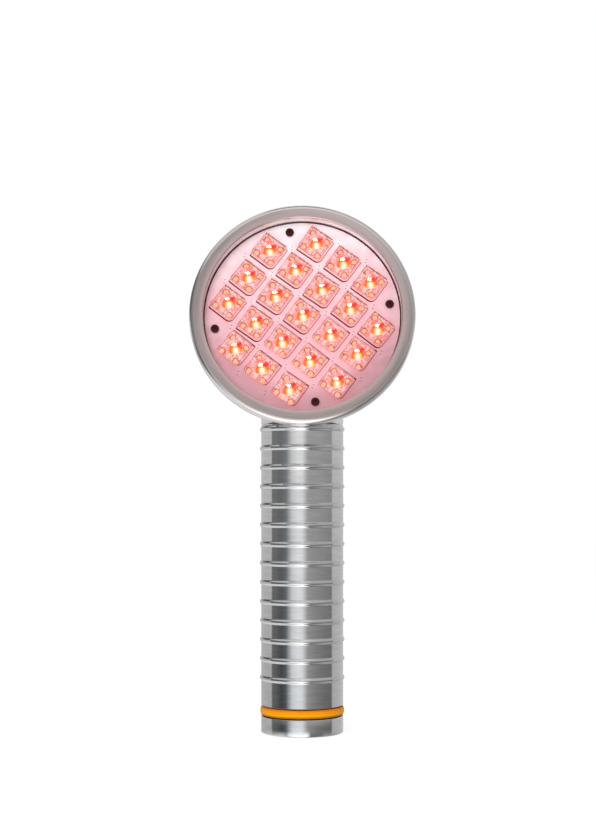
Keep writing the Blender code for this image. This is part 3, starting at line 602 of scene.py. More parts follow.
@dataclass(frozen=True)
class Finish:
    """A surface finish with one base colour."""

    name: str
    colour: Triple
    roughness: float = 0.5
    metallic: float = 0.0
    spread: float = 0.06
    roughness_spread: float = 0.15
    tone_range: Pair = (0.3, 0.7)
    depth: float = 0.01 * MM

    def start(self) -> Paint:
        """Make the material and set what is the same all over it.

        Returns:
            The material, to go on with.
        """
        paint = Paint(self.name)
        paint.set("Base Color", (*self.colour, 1))
        paint.set("Roughness", self.roughness)
        paint.set("Metallic", self.metallic)
        paint.material.diffuse_color = (*self.colour, 1)
        return paint

    def vary(self, paint: Paint, tone: Socket) -> Socket:
        """Vary the colour and the roughness with a tone about one half.

        Args:
            paint: the material.
            tone: the tone.

        Returns:
            The colour, which also feeds the shader.
        """
        dark = tuple(part * (1 - self.spread) for part in self.colour)
        light = tuple(min(1.0, part * (1 + self.spread)) for part in self.colour)
        low, high = self.tone_range
        colour = paint.ramp(tone, ((low, dark), (high, light)))
        paint.set("Base Color", colour)
        smoother = self.roughness * (1 - self.roughness_spread)
        rougher = self.roughness * (1 + self.roughness_spread)
        paint.set("Roughness", paint.between(tone, self.tone_range, (smoother, rougher)))
        return colour


@dataclass(frozen=True)
class TurnedMetal(Finish):
    """Metal from a lathe, with fine rings round its axis."""

    metallic: float = 1.0
    fineness: float = 9000.0
    streaks: float = 2.5

    def build(self, place: Matrix = Matrix.Identity(4)) -> Material:
        """Make the material for a piece turned about a place's local Z axis.

        Args:
            place: where the lathe's axes stand.

        Returns:
            The material.
        """
        paint = self.start()
        self.turn(paint, paint.local(place))
        return paint.material

    def turn(self, paint: Paint, spot: Socket) -> Socket:
        """Mark the surface with a lathe's rings.

        Args:
            paint: the material.
            spot: coordinates about the lathe's axis.

        Returns:
            The colour.
        """
        marks = paint.group(
            TURNED_MARKS, Vector=spot, Fineness=self.fineness, Streaks=self.streaks
        )
        paint.bump(marks["Height"], self.depth)
        return self.vary(paint, marks["Tone"])


@dataclass(frozen=True)
class RingMetal(TurnedMetal):
    """The bezel's metal, with painted light: a painted reflection of the LEDs' pink glow towards
    the aperture, and a painted highlight on its rim.

    The painted zones run out across the flat face, and the wall's painted reflection of the
    LEDs' glow down into the aperture.
    """

    outer_radius: float = 33.8 * MM
    # Painted light on the face: the LEDs' pink glow near the aperture, a painted highlight on the
    # rim.
    painted_glow_and_rim_highlight: Stops = (
        (0.02, (0.82, 0.66, 0.65)), (0.24, (0.76, 0.61, 0.595)),
        (0.62, (0.68, 0.58, 0.565)), (0.80, (0.88, 0.84, 0.83)),
    )
    wall_share: float = 0.01
    wall_depth: float = 4.3 * MM
    # Painted reflection of the LEDs' glow on the aperture's wall: bright midway down, darker above
    # and below.
    wall: Stops = (
        (0.15, (0.66, 0.55, 0.53)), (0.36, (0.86, 0.76, 0.75)), (0.48, (1.0, 0.98, 0.97)),
        (0.62, (1.0, 0.94, 0.94)), (0.90, (0.76, 0.64, 0.64)),
    )

    def turn(self, paint: Paint, spot: Socket) -> Socket:
        """Mark the rings, and colour them with painted light by their distance from the middle.

        Args:
            paint: the material.
            spot: coordinates about the lathe's axis.

        Returns:
            The colour.
        """
        tone = super().turn(paint, spot)
        share = paint.between(paint.from_axis(spot), (APERTURE_RADIUS, self.outer_radius))
        depth = paint.between(paint.parts(spot)[2], (-self.wall_depth, 0.0), (1.0, 0.0))
        in_wall = paint.calc("LESS_THAN", share, self.wall_share)
        # Painted light: the face's glow and rim highlight, or the wall's painted reflection.
        zone = paint.mix(in_wall, paint.ramp(share, self.painted_glow_and_rim_highlight), paint.ramp(depth, self.wall))
        colour = paint.mix(1.0, zone, tone, "MULTIPLY")
        paint.set("Base Color", colour)
        return colour


@dataclass(frozen=True)
class Moulded(Finish):
    """Moulded plastic, rubber or a coated part, with a fine grain."""

    grain: float = 4000.0
    coat: float = 0.0
    gloss: float = 0.5

    def build(self) -> Material:
        """Make the material.

        Returns:
            The material.
        """
        paint = self.start()
        grain = paint.group(FINE_GRAIN, Vector=paint.here(), Scale=self.grain)
        self.vary(paint, grain["Tone"])
        paint.bump(grain["Height"], self.depth)
        paint.set("Coat Weight", self.coat)
        paint.set("Specular IOR Level", self.gloss)
        return paint.material


@dataclass(frozen=True)
class SealRubber(Finish):
    """Orange rubber, with painted shade: darker towards its faces, where the ring meets the metal.
    """

    grain: float = 2500.0
    gloss: float = 0.12
    clouding: float = 0.2
    # From the lower face to the upper face; the dark ends are painted shade.
    stops: Stops = (
        (0.0, (0.42, 0.15, 0.02)), (0.14, (0.55, 0.18, 0.0)), (0.30, (0.93, 0.41, 0.004)),
        (0.55, (0.90, 0.355, 0.001)), (0.76, (0.96, 0.27, 0.0)), (0.90, (0.66, 0.19, 0.0)),
        (1.0, (0.55, 0.20, 0.03)),
    )

    def build(self, base: float, top: float) -> Material:
        """Make the material for a ring between two heights.

        Args:
            base: height of its lower face.
            top: height of its upper face.

        Returns:
            The material.
        """
        paint = self.start()
        spot = paint.here()
        grain = paint.group(FINE_GRAIN, Vector=spot, Scale=self.grain)
        share = paint.between(paint.parts(spot)[2], (base, top))
        cloud = paint.calc("MULTIPLY_ADD", grain["Tone"], self.clouding, -self.clouding / 2)
        paint.set("Base Color", paint.ramp(paint.calc("ADD", share, cloud), self.stops))
        paint.bump(grain["Height"], self.depth)
        paint.set("Specular IOR Level", self.gloss)
        return paint.material


@dataclass(frozen=True)
class SolderMask(Finish):
    """White board coating, with painted light: the LEDs' pink glow painted on it, painted shade
    towards the foot of the board, and a painted pink glow from the board itself.

    Both rows of colours run from the foot of the board to its top: pink beside an LED, and
    pale where the gaps between the LEDs cross. Strip, crossing and beyond are shares of the
    LEDs' pitch, and the two cell limits tell where the grid ends.
    """

    # Painted light: the LEDs' glow on the board, with painted shade towards its foot.
    pale: Stops = (
        (0.0, (0.54, 0.28, 0.32)), (0.25, (0.58, 0.32, 0.36)), (0.5, (0.80, 0.49, 0.53)),
        (0.8, (0.92, 0.70, 0.74)), (1.0, (0.96, 0.88, 0.91)),
    )
    pink: Stops = (
        (0.0, (0.52, 0.24, 0.28)), (0.25, (0.64, 0.30, 0.34)), (0.5, (0.79, 0.46, 0.51)),
        (0.8, (0.88, 0.57, 0.61)), (1.0, (0.93, 0.72, 0.76)),
    )
    grain: float = 5200.0
    clouding: float = 0.4
    reach: float = 29.2 * MM
    least_step: float = 0.46
    least_from: float = 0.7
    least_to: float = 0.96
    glow: Triple = (1.0, 0.32, 0.38)
    glow_strength: float = 0.1
    glow_from: float = 0.6
    rim_glow: float = 0.1
    strip: Pair = (0.39, 0.5)
    crossing: Pair = (0.34, 0.48)
    beyond: Pair = (0.3, 0.5)
    row_limit: float = 2.5
    corner_limit: float = 3.5

    def build(self, place: Matrix) -> Material:
        """Make the material for a board in the plane of a place's X and Y axes.

        Args:
            place: where the axes stand.

        Returns:
            The material.
        """
        paint = self.start()
        spot = paint.local(place)
        grain = paint.group(FINE_GRAIN, Vector=spot, Scale=self.grain)
        cloud = paint.calc("MULTIPLY_ADD", grain["Tone"], self.clouding, -self.clouding / 2)
        # Painted shade: the colours darken towards the foot of the board, less so near the rim.
        rise = paint.between(paint.parts(spot)[1], (-self.reach, self.reach))
        radius = paint.from_axis(spot)
        edge = (self.reach * self.least_from, self.reach * self.least_to)
        least = paint.between(radius, edge, (self.least_step, 0.0))
        step = paint.calc("MAXIMUM", paint.calc("ADD", rise, cloud), least)
        pink = paint.ramp(step, self.pink)
        pale = paint.ramp(step, self.pale)
        # Pink beside the LEDs and paler between them: the LEDs' painted glow.
        paint.set("Base Color", paint.mix(self.away(paint, spot), pink, pale))
        # The board glows though it is no lamp: painted glow, fading towards the rim.
        edge = (self.reach * self.glow_from, self.reach)
        lit = paint.between(radius, edge, (1.0, self.rim_glow))
        paint.set("Emission Color", paint.ramp(lit, ((0.0, (0.0, 0.0, 0.0)), (1.0, self.glow))))
        paint.set("Emission Strength", self.glow_strength)
        paint.bump(grain["Height"], self.depth)
        return paint.material

    def away(self, paint: Paint, spot: Socket) -> Socket:
        """Tell how far a point lies from the LEDs, most of all where their gaps cross.

        Args:
            paint: the material.
            spot: coordinates in the board's plane.

        Returns:
            0 beside an LED, to 1 at a crossing and where the grid has no LED.
        """
        inputs = {"Vector": spot, "Rotation": (0, 0, -GRID_TURN), "Scale": (1 / LED_PITCH,) * 3}
        parts = paint.parts(paint.add("ShaderNodeMapping", inputs).outputs[0])
        across = paint.calc("PINGPONG", parts[0], 0.5)
        along = paint.calc("PINGPONG", parts[1], 0.5)
        furthest = paint.calc("MAXIMUM", across, along)
        nearest = paint.calc("MINIMUM", across, along)
        strip = paint.between(furthest, self.strip, (0.0, 0.5))
        crossing = paint.between(nearest, self.crossing, (0.0, 0.5))
        beside = paint.calc("ADD", strip, crossing)
        beyond = paint.calc("MAXIMUM", beside, paint.between(furthest, self.beyond, (1.0, 0.5)))
        cells = [paint.calc("ABSOLUTE", paint.calc("ROUND", part)) for part in parts[:2]]
        corner = paint.calc("GREATER_THAN", paint.calc("ADD", *cells), self.corner_limit)
        outside = paint.calc("GREATER_THAN", paint.calc("MAXIMUM", *cells), self.row_limit)
        return paint.choose(paint.calc("MAXIMUM", corner, outside), beside, beyond)


@dataclass(frozen=True)
class ClearEpoxy(Finish):
    """Clear epoxy that light also shines through, duller on its flats than on its lens."""

    index: float = 1.5
    lens_radius: float = 2.39 * MM
    dullness: float = 0.08

    def build(self) -> Material:
        """Make the material.

        Returns:
            The material.
        """
        paint = self.start()
        paint.set("Transmission Weight", 1.0)
        paint.set("IOR", self.index)
        plan = paint.add("ShaderNodeUVMap", uv_map=PLAN_MAP).outputs["UV"]
        apart = paint.vector("DISTANCE", plan, (0.5, 0.5, 0))
        flat = paint.calc("GREATER_THAN", apart, self.lens_radius / LED_WIDTH)
        paint.set("Roughness", paint.calc("MULTIPLY", flat, self.dullness))
        through = paint.add("ShaderNodeBsdfTransparent", {"Color": (*self.colour, 1)})
        rays = paint.add("ShaderNodeLightPath").outputs
        lit = paint.calc("MAXIMUM", rays["Is Shadow Ray"], rays["Is Diffuse Ray"])
        inputs = {0: lit, 1: paint.shader.outputs[0], 2: through.outputs[0]}
        surface = paint.add("ShaderNodeMixShader", inputs).outputs[0]
        paint.feed(paint.tree.nodes["Material Output"].inputs["Surface"], surface)
        return paint.material


@dataclass(frozen=True)
class PlanGlow(Finish):
    """A surface inside an LED, whose glow follows the LED's plan, in millimetres."""

    strength: float = 1.0

    def place(self, paint: Paint, offset: Pair = (0.0, 0.0)) -> Socket:
        """Read where a point lies in the plan.

        Args:
            paint: the material.
            offset: the point to measure from.

        Returns:
            The place.
        """
        plan = paint.add("ShaderNodeUVMap", uv_map=PLAN_MAP).outputs["UV"]
        size = LED_WIDTH / MM
        middle = (-0.5 * size - offset[0], -0.5 * size - offset[1], 0)
        return paint.vector("MULTIPLY_ADD", plan, (size, size, 0), middle)

    def light(self, paint: Paint, colour: Socket) -> Material:
        """Let the surface glow in a colour.

        Args:
            paint: the material.
            colour: the glow's colour.

        Returns:
            The finished material.
        """
        paint.set("Specular IOR Level", 0.0)
        paint.set("Emission Color", colour)
        paint.set("Emission Strength", self.strength)
        return paint.material


@dataclass(frozen=True)
class PadGlow(PlanGlow):
    """Round solder pads under an LED's four leads, on its mottled foot, all in painted glow."""

    pad_place: Triple = (2.54, 2.54, 0.0)
    pad_radius: float = 1.12
    pad_edge: float = 0.03
    drift: Pair = (-0.32, -0.08)
    wear_scale: float = 900.0
    wear_depth: float = 0.9
    stops: Stops = (
        (0.0, (0.60, 0.28, 0.15)), (0.16, (0.88, 0.50, 0.35)), (0.52, (0.88, 0.48, 0.34)),
        (0.66, (0.80, 0.30, 0.17)), (0.78, (0.46, 0.10, 0.04)), (0.98, (0.50, 0.11, 0.05)),
        (1.0, (0.82, 0.33, 0.28)),
    )
    mottle_scale: float = 1700.0
    foot: Stops = (
        (0.34, (0.73, 0.21, 0.19)), (0.42, (0.78, 0.36, 0.365)), (0.445, (0.56, 0.15, 0.08)),
        (0.47, (0.56, 0.15, 0.08)), (0.50, (0.78, 0.38, 0.40)), (0.57, (0.92, 0.70, 0.76)),
        (0.66, (0.78, 0.38, 0.43)),
    )
    halo_place: Triple = (0.1, -0.1, 0.0)
    halo_size: Triple = (3.6, 1.5, 1.0)
    halo_edge: Pair = (0.35, 1.0)
    halo_share: float = 0.75
    halo: Triple = (0.95, 0.24, 0.08)
    speck_place: Triple = (1.94, 3.34, 0.0)
    speck_edge: Pair = (0.2, 0.38)
    speck_share: float = 0.85
    speck: Triple = (0.30, 0.06, 0.04)

    def build(self) -> Material:
        """Make the material.

        Returns:
            The material.
        """
        paint = self.start()
        folded = paint.vector("ABSOLUTE", self.place(paint, self.drift))
        spot = paint.here()
        wear = paint.noise(spot, self.wear_scale, 1.0)
        ragged = paint.calc("MULTIPLY_ADD", wear, self.wear_depth, -self.wear_depth / 2)
        rim = paint.calc("ADD", paint.vector("DISTANCE", folded, self.pad_place), ragged)
        foot = paint.ramp(paint.noise(spot, self.mottle_scale, 2.0), self.foot)
        # Painted glow: the cup's red light painted on the foot as a halo.
        foot = paint.mix(self.painted_cup_glow_share(paint), foot, (*self.halo, 1))
        edge = (self.pad_radius - self.pad_edge, self.pad_radius + self.pad_edge)
        colour = paint.mix(paint.between(rim, edge), paint.ramp(rim, self.stops), foot)
        near = paint.vector("DISTANCE", folded, self.speck_place)
        dark = paint.between(near, self.speck_edge, (self.speck_share, 0.0))
        colour = paint.mix(dark, colour, (*self.speck, 1))
        paint.set("Base Color", colour)
        # The pads and the foot glow though they are no lamp: painted glow.
        return self.light(paint, colour)

    def painted_cup_glow_share(self, paint: Paint) -> Socket:
        """Tell the share of the cup's glow painted on the foot, in an oval across the LED's plan.

        Args:
            paint: the material.

        Returns:
            The share.
        """
        inputs = {"Vector": self.place(paint), "Location": self.halo_place}
        inputs |= {"Rotation": (0, 0, -GRID_TURN), "Scale": self.halo_size}
        turned = paint.add("ShaderNodeMapping", inputs, vector_type="TEXTURE").outputs[0]
        far = paint.vector("LENGTH", turned)
        return paint.between(far, self.halo_edge, (self.halo_share, 0.0))


@dataclass(frozen=True)
class CupGlow(PlanGlow):
    """The lit cup: white-hot in the middle, then yellow, orange and red, and pale below.

    Each side is a unit vector in the plan, and its edge says where its colour starts and is
    full, as cosines.
    """

    centre: Pair = (-0.08, -0.27)
    span: float = 1.4
    ring: Stops = (
        (0.19, (1.0, 1.0, 1.0)), (0.28, (1.0, 0.84, 0.34)), (0.42, (1.0, 0.44, 0.08)),
        (0.60, (0.96, 0.17, 0.03)), (0.74, (0.92, 0.15, 0.05)), (0.88, (0.93, 0.36, 0.28)),
        (1.0, (0.90, 0.50, 0.50)),
    )
    pale_side: Triple = (-0.802, -0.598, 0.0)
    pale_edge: Pair = (0.5, 0.92)
    pale: Stops = (
        (0.19, (1.0, 1.0, 1.0)), (0.30, (1.0, 0.86, 0.55)), (0.5, (0.98, 0.72, 0.58)),
        (0.85, (0.95, 0.60, 0.52)),
    )
    red_side: Triple = (0.997, 0.083, 0.0)
    red_edge: Pair = (0.88, 0.99)
    red_from: Pair = (0.42, 0.6)
    red: Triple = (0.88, 0.03, 0.04)

    def build(self) -> Material:
        """Make the material.

        Returns:
            The material.
        """
        paint = self.start()
        spot = self.place(paint, self.centre)
        share = paint.calc("DIVIDE", paint.vector("LENGTH", spot), self.span)
        facing = paint.vector("NORMALIZE", spot)
        below = paint.between(paint.vector("DOT_PRODUCT", facing, self.pale_side), self.pale_edge)
        colour = paint.mix(below, paint.ramp(share, self.ring), paint.ramp(share, self.pale))
        beside = paint.between(paint.vector("DOT_PRODUCT", facing, self.red_side), self.red_edge)
        red = paint.mix(beside, colour, (*self.red, 1))
        return self.light(paint, paint.mix(paint.between(share, self.red_from), colour, red))


# Meshes grown by geometry nodes


class GrownMesh:
    """A geometry node tree with named sizes, and the plain mesh that it makes."""

    def __init__(self, name: str) -> None:
        """Start the tree with its geometry input and output.

        Args:
            name: name of the tree and its mesh.
        """
        self.name = name
        tree = bpy.data.node_groups.new(name, "GeometryNodeTree")
        tree.interface.new_socket("Geometry", in_out="INPUT", socket_type=GEOMETRY)
        tree.interface.new_socket("Geometry", in_out="OUTPUT", socket_type=GEOMETRY)
        self.writer = Writer(tree)
        self.entry = self.writer.add("NodeGroupInput").outputs
        self.exit = self.writer.add("NodeGroupOutput")
        self.values: dict[str, object] = {}

    def size(self, name: str, value: object, kind: str = FLOAT) -> Socket:
        """Add a named input.

        Args:
            name: the input's name.
            value: what the modifier sets it to.
            kind: its socket type.

        Returns:
            The input, to link from.
        """
        socket = self.writer.tree.interface.new_socket(name, in_out="INPUT", socket_type=kind)
        self.values[socket.identifier] = value
        return self.entry[name]

    def finish(self, result: Socket, material: Material, base: Mesh) -> Mesh:
        """End the tree and make its mesh.

        Args:
            result: the geometry to keep.
            material: the finish that the tree sets.
            base: the mesh that the tree starts from.

        Returns:
            The plain mesh, with the instances made real.
        """
        real = self.writer.add("GeometryNodeRealizeInstances", {0: result})
        inputs = {"Geometry": real.outputs[0], "Material": material}
        painted = self.writer.add("GeometryNodeSetMaterial", inputs)
        self.writer.feed(self.exit.inputs[0], painted.outputs[0])
        work = new_piece(self.name + "_work", base)
        modifier = work.modifiers.new(self.name, "NODES")
        modifier.node_group = self.writer.tree
        for identifier, value in self.values.items():
            modifier[identifier] = value
        return evaluated(work, self.name)


def spots_mesh(name: str, spots: Spots) -> Mesh:
    """Make a mesh of loose points that each carry a turn about Z.

    Args:
        name: name of the mesh.
        spots: place and turn of each point.

    Returns:
        The mesh, with the turns in its attribute named turn.
    """
    mesh = bpy.data.meshes.new(name)
    mesh.from_pydata([tuple(place) for place, _ in spots], [], [])
    turns = mesh.attributes.new("turn", "FLOAT", "POINT")
    turns.data.foreach_set("value", [turn for _, turn in spots])
    return mesh


def scattered(name: str, pattern: Mesh, spots: Spots, material: Material) -> Mesh:
    """Set copies of a pattern on points in the head's axes with geometry nodes.

    Args:
        name: name of the mesh.
        pattern: the shape to repeat.
        spots: place and turn of each copy.
        material: the finish of the copies.

    Returns:
        One mesh with all the copies.
    """
    grown = GrownMesh(name)
    writer = grown.writer
    model = new_piece(name + "_pattern", pattern)
    source = grown.size("Pattern", model, "NodeSocketObject")
    info = writer.add("GeometryNodeObjectInfo", {"Object": source})
    turn = writer.add("GeometryNodeInputNamedAttribute", {"Name": "turn"}, data_type="FLOAT")
    euler = writer.point(0.0, 0.0, turn.outputs["Attribute"])
    inputs = {
        "Points": grown.entry[0],
        "Instance": info.outputs["Geometry"],
        "Rotation": writer.add("FunctionNodeEulerToRotation", {0: euler}).outputs[0],
        "Scale": grown.size("Scale", 1.0),
    }
    copies = writer.add("GeometryNodeInstanceOnPoints", inputs)
    mesh = grown.finish(copies.outputs[0], material, spots_mesh(name, spots))
    bpy.data.objects.remove(model, do_unlink=True)
    mesh.transform(HEAD)
    return smooth(mesh)


# Sub-assemblies


@dataclass
class Controls:
    """Button, its collar and the charging socket's nose, on the handle's flat pad."""

    button_level: float
    socket_level: float
    pad_flat: float
    button_sides: int = 64
    button_radius: float = 3.2 * MM
    button_edge: float = 0.6 * MM
    dish_radii: Pair = (1.5 * MM, 2.1 * MM)
    dish_edges: Pair = (0.5 * MM, 0.3 * MM)
    dish_depth: float = 0.12 * MM
    flange_levels: Pair = (8.749 * MM, 9.449 * MM)
    stem_radius: float = 1.5 * MM
    collar_radii: Pair = (3.5 * MM, 3.9 * MM)
    collar_lip: float = 0.4 * MM
    collar_edges: Pair = (0.12 * MM, 0.2 * MM)
    sleeve_sides: int = 48
    sleeve_radii: Pair = (1.76 * MM, 2.9 * MM)
    sleeve_edges: Pair = (0.1 * MM, 0.15 * MM)
    sleeve_depth: float = 0.5 * MM
    sleeve_rise: float = 0.05 * MM
    button_rubber: Moulded = Moulded("button_rubber", (0.035, 0.036, 0.038), 0.5, grain=2600.0)
    collar_rubber: Moulded = Moulded("collar_rubber", (0.018,) * 3, 0.58, grain=3600.0)
    moulding: Moulded = Moulded("socket_moulding", (0.02, 0.02, 0.022), 0.42, grain=3000.0)
    sleeve_metal: TurnedMetal = TurnedMetal("socket_metal", (0.72, 0.72, 0.73), roughness=0.2)

    @staticmethod
    def axis(level: float) -> Matrix:
        """Place whose Z axis points out of the handle's back at a height."""
        return Matrix.Translation((0, 0, level)) @ Matrix.Rotation(-QUARTER_TURN, 4, "X")

    def button(self) -> Mesh:
        """Round button with a shallow dish, on its flange and stem.

        Returns:
            The closed mesh.
        """
        low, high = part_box("power_button")
        flange = (high.x - low.x) / 2
        bottom = high.y - self.dish_depth
        radius = self.button_radius
        under, over = self.flange_levels
        outline = rounded([
            (0.0, bottom), (self.dish_radii[0], bottom, self.dish_edges[0]),
            (self.dish_radii[1], high.y, self.dish_edges[1]), (radius, high.y, self.button_edge),
            (radius, over), (flange, over), (flange, under), (self.stem_radius, under),
            (self.stem_radius, low.y), (0.0, low.y),
        ])
        return lathe("power_button", outline, self.button_sides, self.axis(self.button_level))

    def collar(self) -> Mesh:
        """Sealing collar with a lip that lies on the pad.

        Returns:
            The closed mesh.
        """
        low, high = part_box("button_collar")
        lip = (high.x - low.x) / 2
        under = high.y - self.collar_lip
        bore, neck = self.collar_radii
        outline = rounded([
            (bore, low.y), (bore, high.y, self.collar_edges[0]),
            (lip, high.y, self.collar_edges[1]), (lip, under), (neck, under), (neck, low.y),
        ])
        place = self.axis(self.button_level)
        return lathe("button_collar", outline, self.button_sides, place, ring=True)

    def sleeve(self) -> Mesh:
        """Metal sleeve round the charging inlet.

        Returns:
            The closed mesh.
        """
        bore, radius = self.sleeve_radii
        back = self.pad_flat - self.sleeve_depth
        nose = self.pad_flat + self.sleeve_rise
        outline = rounded([
            (bore, back), (bore, nose, self.sleeve_edges[0]),
            (radius, nose, self.sleeve_edges[1]), (radius, back),
        ])
        place = self.axis(self.socket_level)
        return lathe("sleeve", outline, self.sleeve_sides, place, ring=True)

    def build(self) -> None:
        """Make the controls' pieces."""
        soft = self.button_rubber.build()
        dress("power_button_soft", self.button(), soft, Body.BUTTON, Slot.BUTTON, "power_button")
        rubber = self.collar_rubber.build()
        dress("button_collar_soft", self.collar(), rubber, Body.LAMP, Slot.RUBBER, "button_collar")
        refinish("charge_socket", self.moulding.build())
        metal = self.sleeve_metal.build(self.axis(self.socket_level))
        dress("charge_socket_sleeve", self.sleeve(), metal, Body.LAMP, Slot.CAN)


@dataclass
class Handle:
    """Ribbed tube with the flat pad that its controls stand on."""

    columns: int = 120
    wall: float = 2.2 * MM
    edge: float = 0.2 * MM
    rib_pitch: float = 5.884 * MM
    rib_height: float = 0.4 * MM
    rib_width: float = 1.7 * MM
    rib_reach: float = 1.14
    rib_flat: float = 0.25
    last_rib_margin: float = 1.36 * MM
    plain_length: float = 8.0 * MM
    rows_per_rib: int = 16
    pad_depth: float = 0.9 * MM
    pad_width: float = 12.0 * MM
    pad_margin: float = 5.9 * MM
    button_hole: float = 4.2 * MM
    socket_hole: float = 3.3 * MM
    hole_edge: float = 0.25 * MM
    hole_sides: int = 48
    overrun: float = 1.0 * MM
    metal: TurnedMetal = TurnedMetal(
        "tube_metal", (0.74, 0.74, 0.745), roughness=0.1, depth=0.0014 * MM
    )
    base: float = field(init=False)
    top: float = field(init=False)
    radius: float = field(init=False)

    def __post_init__(self) -> None:
        """Take the tube's place from its CAD node."""
        low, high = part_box("handle_tube")
        self.base = low.z
        self.top = high.z
        self.radius = (high.x - low.x) / 2 - self.rib_height

    def tube(self, material: Material) -> Mesh:
        """Grow the ribbed tube: a grid is wrapped round the axis by one rule.

        The grid's first and last rows are the plain ends, and the rows between are the ribs.

        Args:
            material: the tube's finish.

        Returns:
            The tube, with plain ends and an open bore.
        """
        grown = GrownMesh("ribbed_tube")
        writer = grown.writer
        calc = writer.calc
        ribbed = self.top - self.last_rib_margin - self.base - self.plain_length
        count = 1 + int(ribbed / self.rib_pitch)
        first = self.top - self.last_rib_margin - (count - 1) * self.rib_pitch
        radius = grown.size("Radius", self.radius)
        bore = grown.size("Bore", self.radius - self.wall)
        base = grown.size("Base", self.base)
        top = grown.size("Top", self.top)
        edge = grown.size("Edge", self.edge)
        first_rib = grown.size("First rib", first)
        pitch = grown.size("Rib pitch", self.rib_pitch)
        width = grown.size("Rib width", self.rib_width)
        height = grown.size("Rib height", self.rib_height)
        per_rib = grown.size("Rows per rib", float(self.rows_per_rib))

        inside = calc("SUBTRACT", radius, edge)
        low_end = ((bore, top), (bore, base), (inside, base), (radius, calc("ADD", base, edge)))
        high_end = ((radius, calc("SUBTRACT", top, edge)), (inside, top), (bore, top), (bore, top))
        rows = count * self.rows_per_rib + len(low_end) + len(high_end)
        inputs = {"Size X": 1.0, "Size Y": 1.0, "Vertices X": self.columns + 1, "Vertices Y": rows}
        grid = writer.add("GeometryNodeMeshGrid", inputs)
        parts = writer.parts(writer.add("GeometryNodeInputPosition").outputs[0])
        angle = calc("MULTIPLY", calc("ADD", parts[0], 0.5), -FULL_TURN)
        row = calc("ROUND", calc("MULTIPLY", calc("ADD", parts[1], 0.5), rows - 1.0))

        rib_row = calc("SUBTRACT", row, float(len(low_end)))
        number = calc("FLOOR", calc("DIVIDE", rib_row, per_rib))
        share = calc("DIVIDE", calc("SUBTRACT", rib_row, calc("MULTIPLY", number, per_rib)), per_rib)
        share = calc("MULTIPLY", share, self.rows_per_rib / (self.rows_per_rib - 1))
        reach = calc("MULTIPLY", width, self.rib_reach)
        offset = calc("MULTIPLY", calc("SUBTRACT", share, 0.5), reach)
        spread = calc("DIVIDE", calc("ABSOLUTE", offset), calc("MULTIPLY", width, 0.5))
        slope = writer.between(spread, (self.rib_flat, 1.0), (1.0, 0.0), "SMOOTHSTEP")
        across = calc("MULTIPLY_ADD", slope, height, radius)
        level = calc("ADD", calc("MULTIPLY_ADD", number, pitch, first_rib), offset)
        for line, (end_radius, end_level) in (
            *enumerate(low_end), *enumerate(high_end, rows - len(high_end))
        ):
            here = calc("COMPARE", row, float(line), 0.4)
            across = writer.choose(here, across, end_radius)
            level = writer.choose(here, level, end_level)

        x = calc("MULTIPLY", across, calc("COSINE", angle))
        y = calc("MULTIPLY", across, calc("SINE", angle))
        inputs = {"Geometry": grid.outputs["Mesh"], "Position": writer.point(x, y, level)}
        wrapped = writer.add("GeometryNodeSetPosition", inputs)
        inputs = {"Geometry": wrapped.outputs[0], "Distance": MERGE_DISTANCE}
        joined = writer.add("GeometryNodeMergeByDistance", inputs)
        return grown.finish(joined.outputs[0], material, bpy.data.meshes.new("tube_start"))

    def build(self) -> None:
        """Make the handle's pieces."""
        metal = self.metal.build()
        shape = bmesh.new()
        shape.from_mesh(self.tube(metal))
        tube = mesh_from(shape, "handle_tube")
        tube.materials.append(metal)
        levels = []
        for node in ("power_button", "charge_socket"):
            low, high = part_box(node)
            levels.append((low.z + high.z) / 2)
        button_level, socket_level = levels
        flat = self.radius - self.pad_depth
        reach = self.radius + self.rib_height + self.overrun
        half = self.pad_width / 2
        places = ((-half, flat), (half, flat), (half, reach), (-half, reach))
        corners = [Vector(place) for place in places]
        ends = (socket_level - self.pad_margin, button_level + self.pad_margin)
        tools = [stacked("pad_tool", [(corners, end) for end in ends])]
        for level, hole in zip(levels, (self.button_hole, self.socket_hole)):
            mouth = hole + self.hole_edge
            outline = [
                (0.0, self.radius / 2), (hole, self.radius / 2), (hole, flat - self.hole_edge),
                (mouth, flat), (mouth, reach), (0.0, reach),
            ]
            tools.append(lathe("hole_tool", outline, self.hole_sides, Controls.axis(level)))
        tube = carve(tube, tools)
        dress("handle_tube_ribbed", tube, metal, Body.LAMP, Slot.TUBE, "handle_tube")
        Controls(button_level, socket_level, flat).build()


